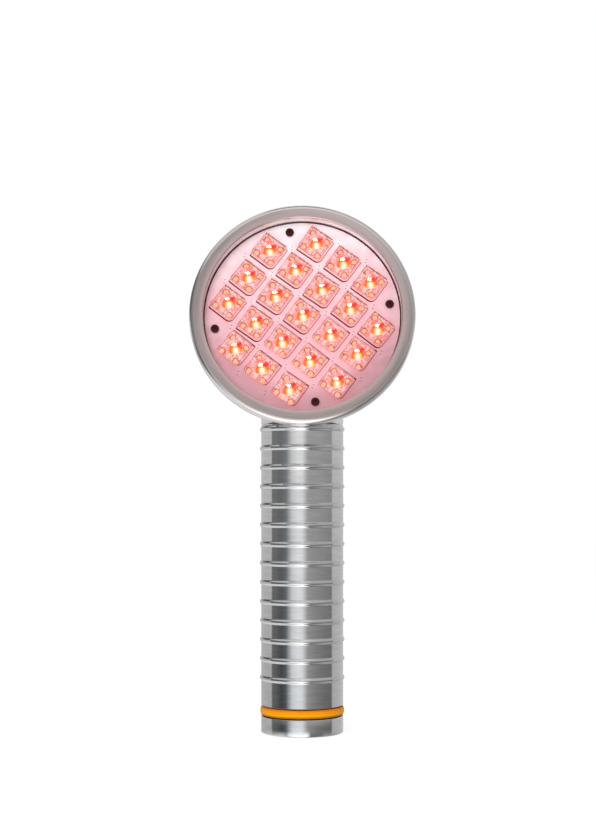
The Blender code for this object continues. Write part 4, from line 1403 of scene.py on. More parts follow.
@dataclass
class LampHead:
    """Bezel ring, gasket, bowl and neck."""

    handle: Handle
    segments: int = 128
    rounding: float = 1.5 * MM
    rounding_steps: int = 8
    lip: float = 0.3 * MM
    flange: float = 3.0 * MM
    flange_edge: float = 0.25 * MM
    spigot_wall: float = 1.3 * MM
    spigot_length: float = 3.3 * MM
    mouth_depth: float = 4.2 * MM
    skirt: float = 1.3 * MM
    shell_edge: float = 0.2 * MM
    shell_wall: float = 1.8 * MM
    bowl_depth: float = 22.0 * MM
    bowl_exponent: float = 1.6
    bowl_steps: int = 40
    neck_gap: float = 0.3 * MM
    neck_straight: float = 4.8 * MM
    neck_dome: float = 18.0 * MM
    neck_steps: int = 24
    neck_margin: float = 0.2 * MM
    neck_ratio: float = 1.002
    ring_metal: RingMetal = RingMetal(
        "bezel_metal", (0.96,) * 3, roughness=0.2, spread=0.07, fineness=7000.0, depth=0.005 * MM
    )
    shell_metal: TurnedMetal = TurnedMetal(
        "shell_metal", (0.75, 0.73, 0.72), roughness=0.22, depth=0.004 * MM
    )
    # Painted light: the neck is lighter than the bowl's metal, against the shade under the bezel.
    neck_metal: TurnedMetal = TurnedMetal(
        "neck_metal", (0.90, 0.86, 0.845), roughness=0.14, depth=0.003 * MM
    )
    gasket_rubber: Moulded = Moulded("gasket_rubber", (0.02,) * 3, 0.6)
    radius: float = field(init=False)
    shell_radius: float = field(init=False)

    def __post_init__(self) -> None:
        """Take the radii from the CAD nodes."""
        low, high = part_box("bezel_ring")
        self.radius = (high.x - low.x) / 2
        low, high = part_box("head_shell")
        self.shell_radius = (high.x - low.x) / 2

    def bezel(self) -> Mesh:
        """Turned ring with a flat face, a rounded rim and its spigot.

        Returns:
            The closed mesh.
        """
        spigot = APERTURE_RADIUS + self.spigot_wall
        back = -self.flange - self.spigot_length
        corners = [
            (spigot, -self.flange), (self.radius, -self.flange, self.flange_edge),
            (self.radius, 0, self.rounding), (APERTURE_RADIUS, 0, self.lip),
            (APERTURE_RADIUS, back), (spigot, back),
        ]
        outline = rounded(corners, self.rounding_steps)
        return lathe("bezel_ring", outline, self.segments, HEAD, ring=True)

    def bowl_point(self, share: float, radius: float, depth: float) -> Pair:
        """Find a point of the bowl's outline.

        Args:
            share: 0 at the bowl's edge, to 1 at its middle.
            radius: the bowl's radius.
            depth: its depth behind the skirt.

        Returns:
            The point, as radius and height.
        """
        power = 2 / self.bowl_exponent
        angle = QUARTER_TURN * share
        along = self.mouth_depth + self.skirt + depth * math.sin(angle) ** power
        return (radius * max(math.cos(angle), 0) ** power, -along)

    def bowl(self) -> Mesh:
        """Hollow bowl behind the bezel.

        Returns:
            The closed mesh.
        """
        inner = self.shell_radius - self.shell_wall
        depth = self.bowl_depth - self.shell_wall
        outline = [(0.0, -self.mouth_depth - self.skirt - depth)]
        for step in range(self.bowl_steps - 1, 0, -1):
            outline.append(self.bowl_point(step / self.bowl_steps, inner, depth))
        outline += [
            (inner, -self.mouth_depth),
            (self.shell_radius - self.shell_edge, -self.mouth_depth),
            (self.shell_radius, -self.mouth_depth - self.shell_edge),
        ]
        for step in range(self.bowl_steps):
            share = step / self.bowl_steps
            outline.append(self.bowl_point(share, self.shell_radius, self.bowl_depth))
        outline.append((0.0, -self.mouth_depth - self.skirt - self.bowl_depth))
        return lathe("head_shell", outline, self.segments, HEAD)

    def neck(self, base: float) -> Mesh:
        """Solid neck, a straight collar under an oval dome.

        Args:
            base: height of its lower face.

        Returns:
            The closed mesh.
        """
        radius = self.handle.radius
        spring = base + self.neck_straight
        outline = [(0.0, base), (radius, base)]
        for step in range(self.neck_steps):
            angle = QUARTER_TURN * step / self.neck_steps
            outline.append((radius * math.cos(angle), spring + self.neck_dome * math.sin(angle)))
        outline.append((0.0, spring + self.neck_dome))
        return lathe("neck", outline, self.segments)

    def bowl_ratio(self, spot: Vector) -> float:
        """Tell how far out a point lies, with the bowl's surface at 1.

        Args:
            spot: the point, in the head's axes.

        Returns:
            The ratio.
        """
        power = self.bowl_exponent
        along = max(-spot.z - self.mouth_depth - self.skirt, 0) / self.bowl_depth
        across = math.hypot(spot.x, spot.y) / self.shell_radius
        return (along**power + across**power) ** (1 / power)

    def build(self) -> None:
        """Make the head's pieces."""
        metal = self.ring_metal.build(HEAD)
        dress("bezel_ring_turned", self.bezel(), metal, Body.LAMP, Slot.RING, "bezel_ring")
        refinish("bezel_gasket", self.gasket_rubber.build())
        base = self.handle.top + self.neck_gap
        dome_top = base + self.neck_straight + self.neck_dome
        shell = carve(self.bowl(), [self.neck(base)], "UNION")
        shell.materials.clear()
        shell.materials.append(self.shell_metal.build(HEAD))
        # The neck's faces take the lighter metal, which is painted light.
        shell.materials.append(self.neck_metal.build())
        back = HEAD.inverted()
        for polygon in shell.polygons:
            place = polygon.center
            near = math.hypot(place.x, place.y) < self.handle.radius + self.neck_margin
            if near and place.z < dome_top:
                polygon.material_index = int(self.bowl_ratio(back @ place) > self.neck_ratio)
        dress("head_shell_turned", shell, shell.materials[0], Body.LAMP, Slot.SHELL, "head_shell")


@dataclass
class EndCap:
    """Screwed cap with its thread, and the orange seal ring above it."""

    handle: Handle
    segments: int = 120
    skirt: float = 5.3 * MM
    floor: float = 2.2 * MM
    bottom_edge: float = 0.5 * MM
    shoulder_edge: float = 0.2 * MM
    spigot_radius: float = 10.2 * MM
    spigot_bore: float = 8.8 * MM
    spigot_top: float = 13.0 * MM
    spigot_edge: float = 0.3 * MM
    thread_pitch: float = 1.5 * MM
    thread_depth: float = 0.28 * MM
    ridge_sunk: float = 0.9
    ridge_size: float = 0.95
    ridge_sides: int = 8
    turn_steps: int = 48
    plain_turns: float = 1.2
    start_turns: float = 0.6
    seal_gap: float = 0.3 * MM
    seal_slope: Pair = (0.32 * MM, 0.75 * MM)
    seal_edges: Pair = (0.1 * MM, 0.6 * MM)
    seal_steps: int = 6
    metal: TurnedMetal = TurnedMetal(
        "cap_turned_metal", (0.73, 0.73, 0.74), roughness=0.1, depth=0.0014 * MM
    )
    orange: SealRubber = SealRubber("seal_rubber", (1.0, 0.33, 0.0), 0.4)
    brass: TurnedMetal = TurnedMetal("contact_brass", (0.80, 0.55, 0.22), roughness=0.25)

    def cap(self) -> Mesh:
        """Cup-shaped cap with a plain core for its thread.

        Returns:
            The closed mesh.
        """
        radius = self.handle.radius
        core = self.spigot_radius - self.thread_depth
        outline = rounded([
            (0.0, 0.0), (radius, 0.0, self.bottom_edge), (radius, self.skirt, self.shoulder_edge),
            (core, self.skirt), (core, self.spigot_top, self.spigot_edge),
            (self.spigot_bore, self.spigot_top), (self.spigot_bore, self.floor), (0.0, self.floor),
        ])
        return lathe("end_cap", outline, self.segments)

    def thread(self, material: Material) -> Mesh:
        """Grow the thread: a ridge swept along a helix round the spigot.

        Args:
            material: the cap's finish.

        Returns:
            The closed mesh.
        """
        grown = GrownMesh("cap_thread")
        writer = grown.writer
        turns = (self.spigot_top - self.skirt) / self.thread_pitch - self.plain_turns
        radius = grown.size("Radius", self.spigot_radius - self.thread_depth * self.ridge_sunk)
        inputs = {
            "Resolution": self.turn_steps,
            "Rotations": grown.size("Turns", turns),
            "Start Radius": radius,
            "End Radius": radius,
            "Height": grown.size("Length", turns * self.thread_pitch),
        }
        spiral = writer.add("GeometryNodeCurveSpiral", inputs).outputs[0]
        ridge = grown.size("Ridge", self.thread_depth * self.ridge_size)
        inputs = {"Resolution": self.ridge_sides, "Radius": ridge}
        section = writer.add("GeometryNodeCurvePrimitiveCircle", inputs).outputs[0]
        inputs = {"Curve": spiral, "Profile Curve": section, "Fill Caps": True}
        swept = writer.add("GeometryNodeCurveToMesh", inputs).outputs[0]
        mesh = grown.finish(swept, material, bpy.data.meshes.new("thread_start"))
        start = self.skirt + self.thread_pitch * self.start_turns
        mesh.transform(Matrix.Translation((0, 0, start)))
        return smooth(mesh)

    def seal(self) -> Mesh:
        """Round-edged ring that bulges a little past the metal.

        Returns:
            The closed mesh.
        """
        low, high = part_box("seal_ring")
        bulge = (high.x - low.x) / 2
        inner = self.spigot_radius + self.seal_gap
        across, along = self.seal_slope
        corner, shoulder = self.seal_edges
        corners = [
            (inner, low.z), (bulge - across, low.z, corner), (bulge, low.z + along, shoulder),
            (bulge, high.z - along, shoulder), (bulge - across, high.z, corner), (inner, high.z),
        ]
        outline = rounded(corners, self.seal_steps)
        return lathe("seal_ring", outline, self.segments, ring=True)

    def build(self) -> None:
        """Make the cap's pieces."""
        metal = self.metal.build()
        dress("end_cap_turned", self.cap(), metal, Body.CAP, Slot.CAP, "end_cap")
        dress("end_cap_thread", self.thread(metal), metal, Body.CAP, Slot.CAP)
        low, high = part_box("seal_ring")
        orange = self.orange.build(low.z, high.z)
        dress("seal_ring_soft", self.seal(), orange, Body.SEAL, Slot.SEAL, "seal_ring")
        refinish("cap_contact", self.brass.build())


@dataclass
class Led:
    """One LED, with its seat at the origin and its light along +Z.

    The cup's outline is in millimetres and runs round its wall, its lip, its well and the die.
    """

    width: float = LED_WIDTH
    height: float = 2.7 * MM
    cut: float = 1.2 * MM
    corner: float = 0.25 * MM
    corner_steps: int = 5
    edge: float = 0.12 * MM
    lens_radius: float = 2.4 * MM
    lens_height: float = 1.9 * MM
    lens_steps: int = 12
    lens_segments: int = 40
    seat: float = 0.3 * MM
    lead_offset: float = 2.54 * MM
    lead_radius: float = 0.25 * MM
    lead_top: float = 0.24 * MM
    pad_radius: float = 1.05 * MM
    pad_levels: Pair = (0.10 * MM, 0.16 * MM)
    speck: Pair = (1.94 * MM, 3.34 * MM)
    speck_radius: float = 0.3 * MM
    speck_top: float = 0.2 * MM
    pad_sides: int = 20
    foot_margin: float = 0.2 * MM
    foot_levels: Pair = (0.03 * MM, 0.07 * MM)
    arm_size: Triple = (1.9 * MM, 1.1 * MM, 0.2 * MM)
    arm_offset: float = 2.35 * MM
    arm_level: float = 0.6 * MM
    cup_centre: Pair = (-0.08 * MM, -0.27 * MM)
    cup_sides: int = 24
    cup_outline: tuple[Pair, ...] = (
        (0.0, 0.5), (1.35, 0.5), (1.35, 1.25), (1.25, 1.4), (1.1, 1.4), (0.62, 1.0),
        (0.3, 1.0), (0.3, 1.12), (0.0, 1.12),
    )

    def outline(self, width: float, cut: float, corner: float) -> list[Vector]:
        """Square outline with one larger corner, at (-X, -Y).

        Args:
            width: the square's side.
            cut: radius of the larger corner.
            corner: radius of the others.

        Returns:
            The corners, anticlockwise.
        """
        half = width / 2
        points = []
        for number, (side, end) in enumerate(((-1, -1), (1, -1), (1, 1), (-1, 1))):
            radius = corner if number else cut
            middle = Vector((side * (half - radius), end * (half - radius)))
            for step in range(self.corner_steps + 1):
                angle = math.pi + QUARTER_TURN * (number + step / self.corner_steps)
                points.append(middle + Vector((math.cos(angle), math.sin(angle))) * radius)
        return points

    def plan_map(self, mesh: Mesh) -> Mesh:
        """Give a mesh a UV map of the LED's plan, with its middle at one half.

        Args:
            mesh: the mesh.

        Returns:
            The same mesh.
        """
        layer = mesh.uv_layers.new(name=PLAN_MAP)
        for loop in mesh.loops:
            place = mesh.vertices[loop.vertex_index].co
            layer.data[loop.index].uv = (0.5 + place.x / self.width, 0.5 + place.y / self.width)
        return mesh

    def body(self) -> Mesh:
        """Clear square body under a round lens.

        Returns:
            The closed mesh.
        """
        edge = self.edge
        full = self.outline(self.width, self.cut, self.corner)
        shrunk = self.outline(self.width - 2 * edge, self.cut - edge, self.corner - edge / 2)
        levels = [(shrunk, 0.0), (full, edge), (full, self.height - edge), (shrunk, self.height)]
        outline = [(0.0, self.height / 2), (self.lens_radius, self.height / 2)]
        for step in range(self.lens_steps):
            angle = QUARTER_TURN * step / self.lens_steps
            across = self.lens_radius * math.cos(angle)
            outline.append((across, self.height + self.lens_height * math.sin(angle)))
        outline.append((0.0, self.height + self.lens_height))
        lens = lathe("lens_tool", outline, self.lens_segments)
        return self.plan_map(carve(smooth(stacked("led_body", levels)), [lens], "UNION"))

    def pads(self) -> Mesh:
        """Solder pads and leads at the four corners of the foot.

        Returns:
            The mesh.
        """
        shape = bmesh.new()
        low_face, high_face = self.pad_levels
        for side, end in ((-1, -1), (-1, 1), (1, -1), (1, 1)):
            pad = (side * self.lead_offset, end * self.lead_offset)
            speck = (side * self.speck[0], end * self.speck[1])
            for spot, radius, low, high in (
                (pad, self.pad_radius, low_face, high_face),
                (pad, self.lead_radius, -self.seat, self.lead_top),
                (speck, self.speck_radius, low_face, self.speck_top),
            ):
                bmesh.ops.create_cone(
                    shape,
                    cap_ends=True,
                    segments=self.pad_sides,
                    radius1=radius,
                    radius2=radius,
                    depth=high - low,
                    matrix=Matrix.Translation((*spot, (low + high) / 2)),
                )
        foot = self.outline(self.width - 2 * self.foot_margin, self.cut, self.corner)
        shape.from_mesh(stacked("led_foot", [(foot, level) for level in self.foot_levels]))
        return self.plan_map(smooth(mesh_from(shape, "led_pads")))

    def arms(self) -> Mesh:
        """Two arms of the lead frame that reach for the cup.

        Returns:
            The mesh.
        """
        shape = bmesh.new()
        size = Matrix.Diagonal((*self.arm_size, 1))
        for side in (-1, 1):
            place = (side * self.arm_offset, self.cup_centre[1] / 2, self.arm_level)
            bmesh.ops.create_cube(shape, size=1, matrix=Matrix.Translation(place) @ size)
        return self.plan_map(smooth(mesh_from(shape, "led_frame")))

    def cup(self) -> Mesh:
        """Lit cup with the die in its middle.

        Returns:
            The closed mesh.
        """
        outline = [(radius * MM, height * MM) for radius, height in self.cup_outline]
        place = Matrix.Translation((*self.cup_centre, 0))
        return self.plan_map(lathe("led_cup", outline, self.cup_sides, place))


@dataclass
class LedFace:
    """Board with its print, screws and LEDs. The trial turns are in degrees."""

    led: Led = field(default_factory=Led)
    board_radius: float = 29.3 * MM
    board_front: float = -4.3 * MM
    board_thickness: float = 1.6 * MM
    board_edge: float = 0.05 * MM
    board_segments: int = 128
    screw_circle: float = 26.45 * MM
    screw_turn: float = math.radians(8.3)
    screw_count: int = 4
    screw_sides: int = 32
    screw_radius: float = 1.25 * MM
    screw_shank: float = 0.8 * MM
    screw_top: float = -3.4 * MM
    screw_edge: float = 0.2 * MM
    socket_radius: float = 0.6 * MM
    socket_depth: float = 0.35 * MM
    overrun: float = 0.5 * MM
    led_seat: float = -4.0 * MM
    trial_turn: float = 0.05
    trials: int = 60
    print_width: float = 8.3 * MM
    print_corner: float = 1.7 * MM
    print_line: float = 0.17 * MM
    # Width of the outline's heavier side, which is painted shade.
    painted_shade_line: float = 0.42 * MM
    print_offset: Pair = (0.45 * MM, -0.15 * MM)
    print_height: float = 0.02 * MM
    low_rows: float = -5.0 * MM
    via_radius: float = 0.15 * MM
    via_sides: int = 8
    via_spread: float = 0.5 * MM
    via_slant: float = 0.3
    via_rows: int = 3
    via_reach: float = 0.8
    mask: SolderMask = SolderMask(
        "board_mask", (0.80, 0.60, 0.64), roughness=0.42, depth=0.004 * MM
    )
    ink: Moulded = Moulded("board_ink", (0.18, 0.0, 0.003), 0.6, gloss=0.0)
    epoxy: ClearEpoxy = ClearEpoxy("led_epoxy", (1.0, 0.90, 0.885), roughness=0.0)
    pads: PadGlow = PadGlow("led_pad_glow", (0.9, 0.6, 0.45), 0.35, strength=0.12)
    # Painted glow: the lead frame's peach colour stands in for the LEDs' light on it.
    arms: Moulded = Moulded("led_lead_finish", (0.92, 0.60, 0.52), 0.45, gloss=0.1)
    cups: CupGlow = CupGlow("led_cup_glow", (0.06, 0.02, 0.01), 0.4)
    steel: TurnedMetal = TurnedMetal("screw_steel", (0.10, 0.03, 0.033), roughness=0.4)

    @staticmethod
    def led_nodes() -> list[str]:
        """Names of the LEDs' CAD nodes."""
        names = [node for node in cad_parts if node.startswith("led_")]
        return sorted(name for name in names if name != "led_board")

    def led_spots(self) -> Spots:
        """Measure each LED's place and turn on its CAD node, in the head's axes.

        Returns:
            Place on the LED's seat, and turn about the head's Z axis.
        """
        back = HEAD.inverted()
        steps = range(-self.trials, self.trials + 1)
        turns = [GRID_TURN + math.radians(step * self.trial_turn) for step in steps]
        spots = []
        for node in self.led_nodes():
            points = [back @ point for point in node_points(node)]
            boxes = [self.fitted(points, turn) for turn in turns]
            _, middle, turn = min(boxes, key=lambda box: box[0])
            spots.append((middle, turn))
        return spots

    def fitted(self, points: list[Vector], turn: float) -> tuple[float, Vector, float]:
        """Box an LED's corners at one turn.

        Args:
            points: the corners, in the head's axes.
            turn: the box's turn about Z.

        Returns:
            The box's width and depth together, its middle on the seat, and the turn.
        """
        spun = [Matrix.Rotation(-turn, 3, "Z") @ point for point in points]
        low = Vector([min(point[axis] for point in spun) for axis in range(3)])
        high = Vector([max(point[axis] for point in spun) for axis in range(3)])
        middle = Matrix.Rotation(turn, 3, "Z") @ ((low + high) / 2)
        size = high - low
        return size.x + size.y, Vector((middle.x, middle.y, self.led_seat)), turn

    def print_square(self, heavy_side: int) -> Mesh:
        """Thin printed outline round one LED, whose heavier side is painted shade, off its middle
        towards that side.

        Args:
            heavy_side: -1 or 1, for the place of the heavier side, the painted shade, on the LED's X
                axis.

        Returns:
            The closed outline.
        """
        width = self.print_width
        line = self.print_line
        outer = self.led.outline(width, self.print_corner, self.led.corner)
        inner = self.led.outline(width - 2 * line, self.print_corner - line, self.led.corner / 2)
        extra = (self.painted_shade_line - line) / (width / 2 - line)
        for point in inner:
            point.x -= extra * heavy_side * max(heavy_side * point.x, 0)
        shift = Vector((self.print_offset[0] * heavy_side, self.print_offset[1]))
        outer = [point + shift for point in outer]
        inner = [point + shift for point in inner]
        rise = self.print_height
        section = [(outer, 0.0), (outer, rise), (inner, rise), (inner, 0.0)]
        return stacked("print_square", section, ring=True)

    def on_board(self, spots: Spots) -> Spots:
        """Put spots on the board's front."""
        return [(Vector((place.x, place.y, self.board_front)), turn) for place, turn in spots]

    def via_spots(self, leds: Spots) -> Spots:
        """Place pairs of small plated holes where the gaps between LEDs cross.

        Args:
            leds: place and turn of each LED.

        Returns:
            Place and turn of each hole.
        """
        spots = []
        grid = Matrix.Rotation(GRID_TURN, 3, "Z")
        reach = LED_PITCH * self.via_reach
        offset = grid @ Vector((self.via_spread, self.via_spread * self.via_slant, 0))
        rows = range(-self.via_rows, self.via_rows)
        for row in rows:
            for column in rows:
                middle = grid @ Vector(((row + 0.5) * LED_PITCH, (column + 0.5) * LED_PITCH, 0))
                near = [place for place, _ in leds if (place - middle).xy.length < reach]
                if len(near) > 1:
                    spots += [(middle - offset, 0.0), (middle + offset, 0.0)]
        return self.on_board(spots)

    def build(self) -> None:
        """Make the face's pieces."""
        front = self.board_front
        back = front - self.board_thickness
        radius = self.board_radius
        edge = self.board_edge
        corners = [(0.0, back), (radius, back, edge), (radius, front, edge), (0.0, front)]
        board = lathe("led_board", rounded(corners, steps=2), self.board_segments, HEAD)
        coating = self.mask.build(HEAD)
        dress("led_board_masked", board, coating, Body.LAMP, Slot.BOARD, "led_board")
        spots = self.led_spots()
        ink = self.ink.build()
        # Printed outlines with a heavier side of painted shade, on opposite sides for upper and
        # lower LEDs.
        for name, heavy_side in (("board_print_upper", -1), ("board_print_lower", 1)):
            places = [spot for spot in spots if (spot[0].y < self.low_rows) == (heavy_side > 0)]
            square = self.print_square(heavy_side)
            squares = scattered(name + "_lines", square, self.on_board(places), ink)
            dress(name, squares, ink, Body.LAMP, Slot.BOARD)
        size = self.via_radius
        rise = self.print_height
        dot = lathe("via", [(0.0, 0.0), (size, 0.0), (size, rise), (0.0, rise)], self.via_sides)
        dots = scattered("board_holes", dot, self.via_spots(spots), ink)
        dress("board_vias", dots, ink, Body.LAMP, Slot.BOARD)
        self.build_leds(spots)
        self.build_screws()

    def build_leds(self, spots: Spots) -> None:
        """Make the LEDs' clear bodies, pads, lead frames and lit cups.

        Args:
            spots: place and turn of each LED.
        """
        for name, pattern, finish, nodes in (
            ("led_bodies", self.led.body(), self.epoxy, self.led_nodes()),
            ("led_pads", self.led.pads(), self.pads, ()),
            ("led_frames", self.led.arms(), self.arms, ()),
            ("led_cups", self.led.cup(), self.cups, ()),
        ):
            material = finish.build()
            copies = scattered(name + "_set", pattern, spots, material)
            dress(name, copies, material, Body.LAMP, Slot.EPOXY, *nodes)

    def build_screws(self) -> None:
        """Make the four socket screws."""
        steel = self.steel.build(HEAD)
        top = self.screw_top
        end = self.board_front - self.board_thickness
        outline = rounded([
            (0.0, end), (self.screw_shank, end), (self.screw_shank, self.led_seat),
            (self.screw_radius, self.led_seat), (self.screw_radius, top, self.screw_edge),
            (0.0, top),
        ])
        size = self.socket_radius
        deep = top - self.socket_depth
        above = top + self.overrun
        socket = lathe("socket_tool", [(0.0, deep), (size, deep), (size, above), (0.0, above)], 6)
        screw = carve(lathe("board_screw", outline, self.screw_sides), [socket])
        spots = []
        for index in range(self.screw_count):
            angle = self.screw_turn + FULL_TURN * index / self.screw_count
            place = Vector((math.cos(angle), math.sin(angle), 0)) * self.screw_circle
            spots.append((place, angle))
        screws = scattered("screw_heads", screw, spots, steel)
        nodes = [f"board_screw_{index + 1}" for index in range(self.screw_count)]
        dress("board_screws", screws, steel, Body.LAMP, Slot.SCREW, *nodes)


@dataclass
class Inside:
    """The sealed pieces, which keep their CAD shapes."""

    can: Triple = (0.70, 0.71, 0.73)

    def build(self) -> None:
        """Give each sealed node its finish."""
        finishes = {
            "battery_cell": Moulded("cell_wrap", (0.02, 0.07, 0.28), 0.3, coat=0.4),
            "cell_sleeve": Moulded("liner_card", (0.52, 0.50, 0.45), 0.65),
            "contact_spring": TurnedMetal("spring_wire", (0.66, 0.66, 0.67), roughness=0.22),
            "contact_plate": TurnedMetal("plate_brass", (0.80, 0.56, 0.24), roughness=0.28),
            "contact_carrier": Moulded("carrier_moulding", (0.03, 0.03, 0.032), 0.45),
            "driver_board": Moulded("driver_mask", (0.01, 0.10, 0.03), 0.4, coat=0.3),
            "controller_chip": Moulded("chip_moulding", (0.02, 0.02, 0.022), 0.5),
            "power_inductor": Moulded("inductor_ferrite", (0.05, 0.05, 0.055), 0.7),
            "capacitor_lower": TurnedMetal("capacitor_lower_can", self.can, roughness=0.25),
            "capacitor_upper": TurnedMetal("capacitor_upper_can", self.can, roughness=0.25),
            "switch_body": Moulded("switch_moulding", (0.03, 0.03, 0.032), 0.45),
            "switch_plunger": Moulded("plunger_plastic", (0.62, 0.56, 0.42), 0.5),
            "lead_red": Moulded("lead_red_skin", (0.45, 0.01, 0.01), 0.45),
            "lead_black": Moulded("lead_black_skin", (0.02, 0.02, 0.02), 0.45),
        }
        for node, finish in finishes.items():
            refinish(node, finish.build())


@dataclass(frozen=True)
class Surround:
    """What the metal mirrors: rows of panels round the lamp, one above the other.

    Each band is (degrees from the camera towards +X, brightness, share of blue). Each row
    above the lowest starts with the two heights between which it takes over from the row
    below it, where a height is the upward part of a direction.
    """

    lowest: Bands = (
        (-180, 0.7, 0), (-125, 0.8, 0), (-58, 0.8, 0), (-46, 0.5, 0), (-38, 1.2, 0),
        (-20, 1.5, 0), (14, 1.5, 0), (24, 0.2, 0), (56, 0.2, 0), (70, 0.4, 0),
        (130, 0.42, 0), (180, 0.7, 0),
    )
    rows: tuple[tuple[Pair, Bands], ...] = (
        ((-0.34, -0.20), (
            (-180, 0.55, 0), (-96, 0.48, 0), (-93, 0.15, 0), (-78, 0.12, 0), (-60, 0.06, 0.15),
            (-46, 0.11, 0.12), (-36, 0.45, 0.06), (-28, 0.78, 0.03), (-10, 0.93, 0.03),
            (0, 0.86, 0.02), (14, 0.36, 0), (26, 0.29, 0), (43, 0.22, 0), (66, 0.17, 0),
            (90, 0.15, 0), (93, 0.49, 0), (180, 0.66, 0),
        )),
        ((-0.15, 0.06), (
            (-180, 0.60, 0), (-96, 0.60, 0), (-93, 0.195, 0), (-78, 0.215, 0), (-70, 0.185, 0),
            (-58, 0.20, 0.03), (-44, 0.25, 0.06), (-35, 0.50, 0.02), (-28, 0.70, 0),
            (-12, 0.90, 0), (0, 0.88, 0), (14, 0.44, 0), (26, 0.41, 0), (43, 0.42, 0),
            (66, 0.385, 0), (90, 0.35, 0), (93, 0.60, 0), (180, 0.62, 0),
        )),
        ((0.12, 0.24), (
            (-180, 0.70, 0), (-165, 0.60, 0), (-140, 0.12, 0), (-100, 0.10, 0), (-80, 0.14, 0),
            (-50, 0.24, 0), (-20, 0.40, 0), (-8, 0.58, 0), (-4.5, 0.48, 0), (-2, 0.48, 0),
            (0, 0.69, 0), (2, 0.52, 0), (4, 0.38, 0), (8, 0.36, 0), (20, 0.34, 0),
            (60, 0.40, 0), (94, 0.42, 0), (120, 0.50, 0), (180, 0.70, 0),
        )),
        ((0.38, 0.46), (
            (-180, 0.70, 0), (-165, 0.60, 0), (-140, 0.12, 0), (-100, 0.10, 0), (-80, 0.14, 0),
            (-50, 0.26, 0), (-20, 0.32, 0), (-8, 0.40, 0), (-4, 0.42, 0), (-1.5, 0.60, 0),
            (0, 0.77, 0), (2, 0.90, 0.03), (3.5, 0.95, 0.04), (6, 0.78, 0.03), (10, 0.56, 0),
            (60, 0.45, 0), (94, 0.42, 0), (120, 0.50, 0), (180, 0.70, 0),
        )),
        ((0.54, 0.70), (
            (-180, 0.80, 0), (-140, 0.60, 0), (-60, 0.60, 0), (-40, 0.75, 0), (-20, 0.90, 0),
            (0, 0.95, 0), (20, 0.90, 0), (45, 0.60, 0), (80, 0.48, 0), (130, 0.50, 0),
            (180, 0.80, 0),
        )),
        ((0.955, 0.985), ((-180, 0.12, 0), (180, 0.12, 0))),
    )
    lens_centre: Pair = (-0.05, 0.46)
    lens_size: Pair = (0.50, 0.30)
    lens_level: float = 26.0
    lens_ray_depth: float = 2.5

    @staticmethod
    def ramp(writer: Writer, turn: Socket, bands: Bands) -> Socket:
        """Write one row as a colour ramp.

        Args:
            writer: the world's writer.
            turn: azimuth as a share of a full turn, with the camera at one half.
            bands: the row.

        Returns:
            The row's colour.
        """
        stops = []
        for degrees, level, cool in bands:
            place = 0.5 + math.radians(degrees) / FULL_TURN
            stops.append((place, (level * (1 - cool), level, level * (1 + cool))))
        return writer.ramp(turn, tuple(stops))

    def build(self, writer: Writer) -> Socket:
        """Write the surround by direction.

        Args:
            writer: the world's writer.

        Returns:
            The colour that glossy rays find.
        """
        parts = writer.parts(writer.add("ShaderNodeTexCoord").outputs["Generated"])
        azimuth = writer.calc("ARCTAN2", parts[0], writer.calc("MULTIPLY", parts[1], -1.0))
        turn = writer.calc("MULTIPLY_ADD", azimuth, 1 / FULL_TURN, 0.5)
        colour = self.ramp(writer, turn, self.lowest)
        for edge, bands in self.rows:
            share = writer.between(parts[2], edge, kind="SMOOTHSTEP")
            colour = writer.mix(share, colour, self.ramp(writer, turn, bands))
        return writer.mix(self.window(writer, parts), colour, (*(self.lens_level,) * 3, 1))

    def window(self, writer: Writer, parts: Sockets) -> Socket:
        """Write the bright oval before the lamp, which the LEDs' smooth lenses alone mirror.

        Args:
            writer: the world's writer.
            parts: the direction's X, Y and Z.

        Returns:
            1 in the oval, else 0.
        """
        squares = []
        for part, centre, size in zip((parts[0], parts[2]), self.lens_centre, self.lens_size):
            share = writer.calc("DIVIDE", writer.calc("SUBTRACT", part, centre), size)
            squares.append(writer.calc("MULTIPLY", share, share))
        window = writer.calc("LESS_THAN", writer.calc("ADD", *squares), 1.0)
        rays = writer.add("ShaderNodeLightPath").outputs
        before = writer.calc("LESS_THAN", parts[1], 0.0)
        shallow = writer.calc("LESS_THAN", rays["Ray Depth"], self.lens_ray_depth)
        for test in (before, shallow, rays["Is Singular Ray"]):
            window = writer.calc("MULTIPLY", window, test)
        return window


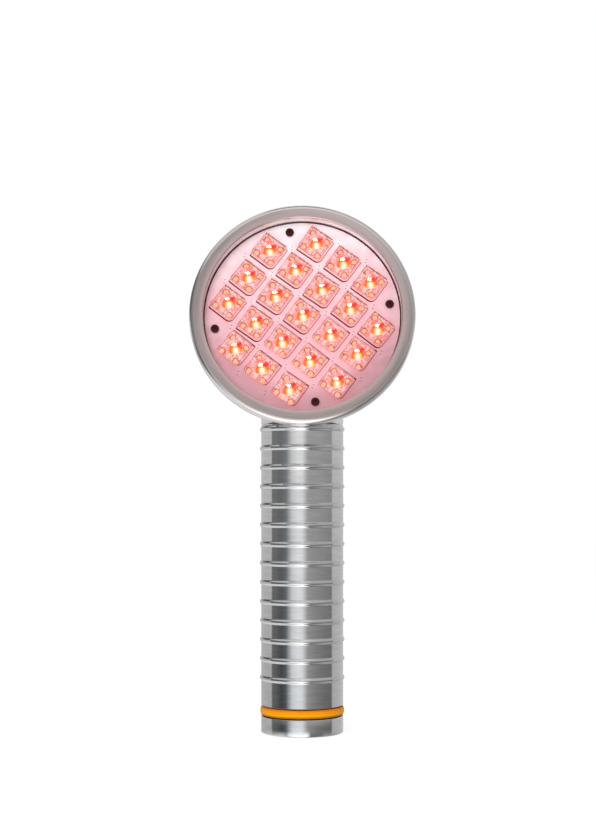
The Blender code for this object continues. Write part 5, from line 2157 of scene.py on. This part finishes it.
@dataclass
class Studio:
    """Pale floor, soft light, the surround in the metal, and the camera."""

    surround: Surround = Surround()
    plain: Triple = (0.78, 0.78, 0.78)
    floor_colour: Triple = (0.5, 0.5, 0.5)
    floor_roughness: float = 0.9
    floor_glow: float = 0.62
    floor_radius: float = 3.0
    floor_sides: int = 64
    floor_gap: float = 0.05 * MM
    lamp_place: Triple = (-0.2, -0.8, 0.35)
    lamp_aim: Triple = (0.0, 0.0, 0.10)
    lamp_width: float = 0.5
    lamp_power: float = 4.5
    camera_place: Triple = (-1.3 * MM, -468 * MM, 70.5 * MM)
    focal_pixels: float = 1512.0
    image_height: float = 830.0
    horizon_drop: float = 89.0
    sensor: float = 36.0
    clip: Pair = (0.01, 20.0)

    @staticmethod
    def seen(writer: Writer) -> Socket:
        """Tell whether the camera sees something, straight or through clear epoxy."""
        rays = writer.add("ShaderNodeLightPath").outputs
        return writer.calc("MAXIMUM", rays["Is Camera Ray"], rays["Is Transmission Ray"])

    def floor(self) -> None:
        """Lay the pale floor, white to the camera, with the lamp's soft shadow on it."""
        shape = bmesh.new()
        sides = self.floor_sides
        bmesh.ops.create_circle(shape, cap_ends=True, segments=sides, radius=self.floor_radius)
        mesh = bpy.data.meshes.new("floor")
        shape.to_mesh(mesh)
        shape.free()
        paint = Paint("floor_paper")
        paint.set("Base Color", (*self.floor_colour, 1))
        paint.set("Roughness", self.floor_roughness)
        paint.set("Specular IOR Level", 0.0)
        paint.set("Emission Color", (1, 1, 1, 1))
        paint.set("Emission Strength", paint.calc("MULTIPLY", self.seen(paint), self.floor_glow))
        mesh.materials.append(paint.material)
        floor = new_piece("floor", mesh)
        floor.location = (0, 0, CAD_BOX[0].z - self.floor_gap)
        floor.visible_glossy = False

    def world(self) -> None:
        """White to the camera, the surround in the metal, plain light on the rest."""
        world = bpy.data.worlds.new("studio")
        world.use_nodes = True
        bpy.context.scene.world = world
        world.cycles.sampling_method = "NONE"
        writer = Writer(world.node_tree)
        glossy = writer.add("ShaderNodeLightPath").outputs["Is Glossy Ray"]
        colour = writer.mix(glossy, (*self.plain, 1), self.surround.build(writer))
        colour = writer.mix(self.seen(writer), colour, (1, 1, 1, 1))
        writer.feed(writer.tree.nodes["Background"].inputs["Color"], colour)

    def lamp(self) -> None:
        """Hang a square soft lamp that looks at the lamp head and isn't mirrored."""
        data = bpy.data.lights.new("key_lamp", "AREA")
        data.size = self.lamp_width
        data.energy = self.lamp_power
        lamp = bpy.data.objects.new("key_lamp", data)
        bpy.context.scene.collection.objects.link(lamp)
        lamp.location = self.lamp_place
        aim = Vector(self.lamp_aim) - Vector(self.lamp_place)
        lamp.rotation_euler = aim.to_track_quat("-Z", "Y").to_euler()
        lamp.visible_glossy = False

    def camera(self) -> None:
        """Set the camera level with the handle, with the photograph's framing."""
        data = bpy.data.cameras.new("camera")
        data.sensor_width = self.sensor
        data.lens = self.sensor * self.focal_pixels / self.image_height
        data.shift_y = self.horizon_drop / self.image_height
        data.clip_start, data.clip_end = self.clip
        camera = bpy.data.objects.new("camera", data)
        bpy.context.scene.collection.objects.link(camera)
        camera.location = self.camera_place
        camera.rotation_euler = (QUARTER_TURN, 0, 0)
        bpy.context.scene.camera = camera

    def build(self) -> None:
        """Set up the stage."""
        bpy.context.scene.view_settings.view_transform = "Standard"
        self.floor()
        self.world()
        self.lamp()
        self.camera()


def main() -> None:
    """Build the lamp's looks in order."""
    logging.basicConfig(level=logging.INFO, format="%(name)s %(message)s")
    handle = Handle()
    for part in (LampHead(handle), handle, EndCap(handle), LedFace(), Inside(), Studio()):
        part.build()


if __name__ == "__main__":
    main()
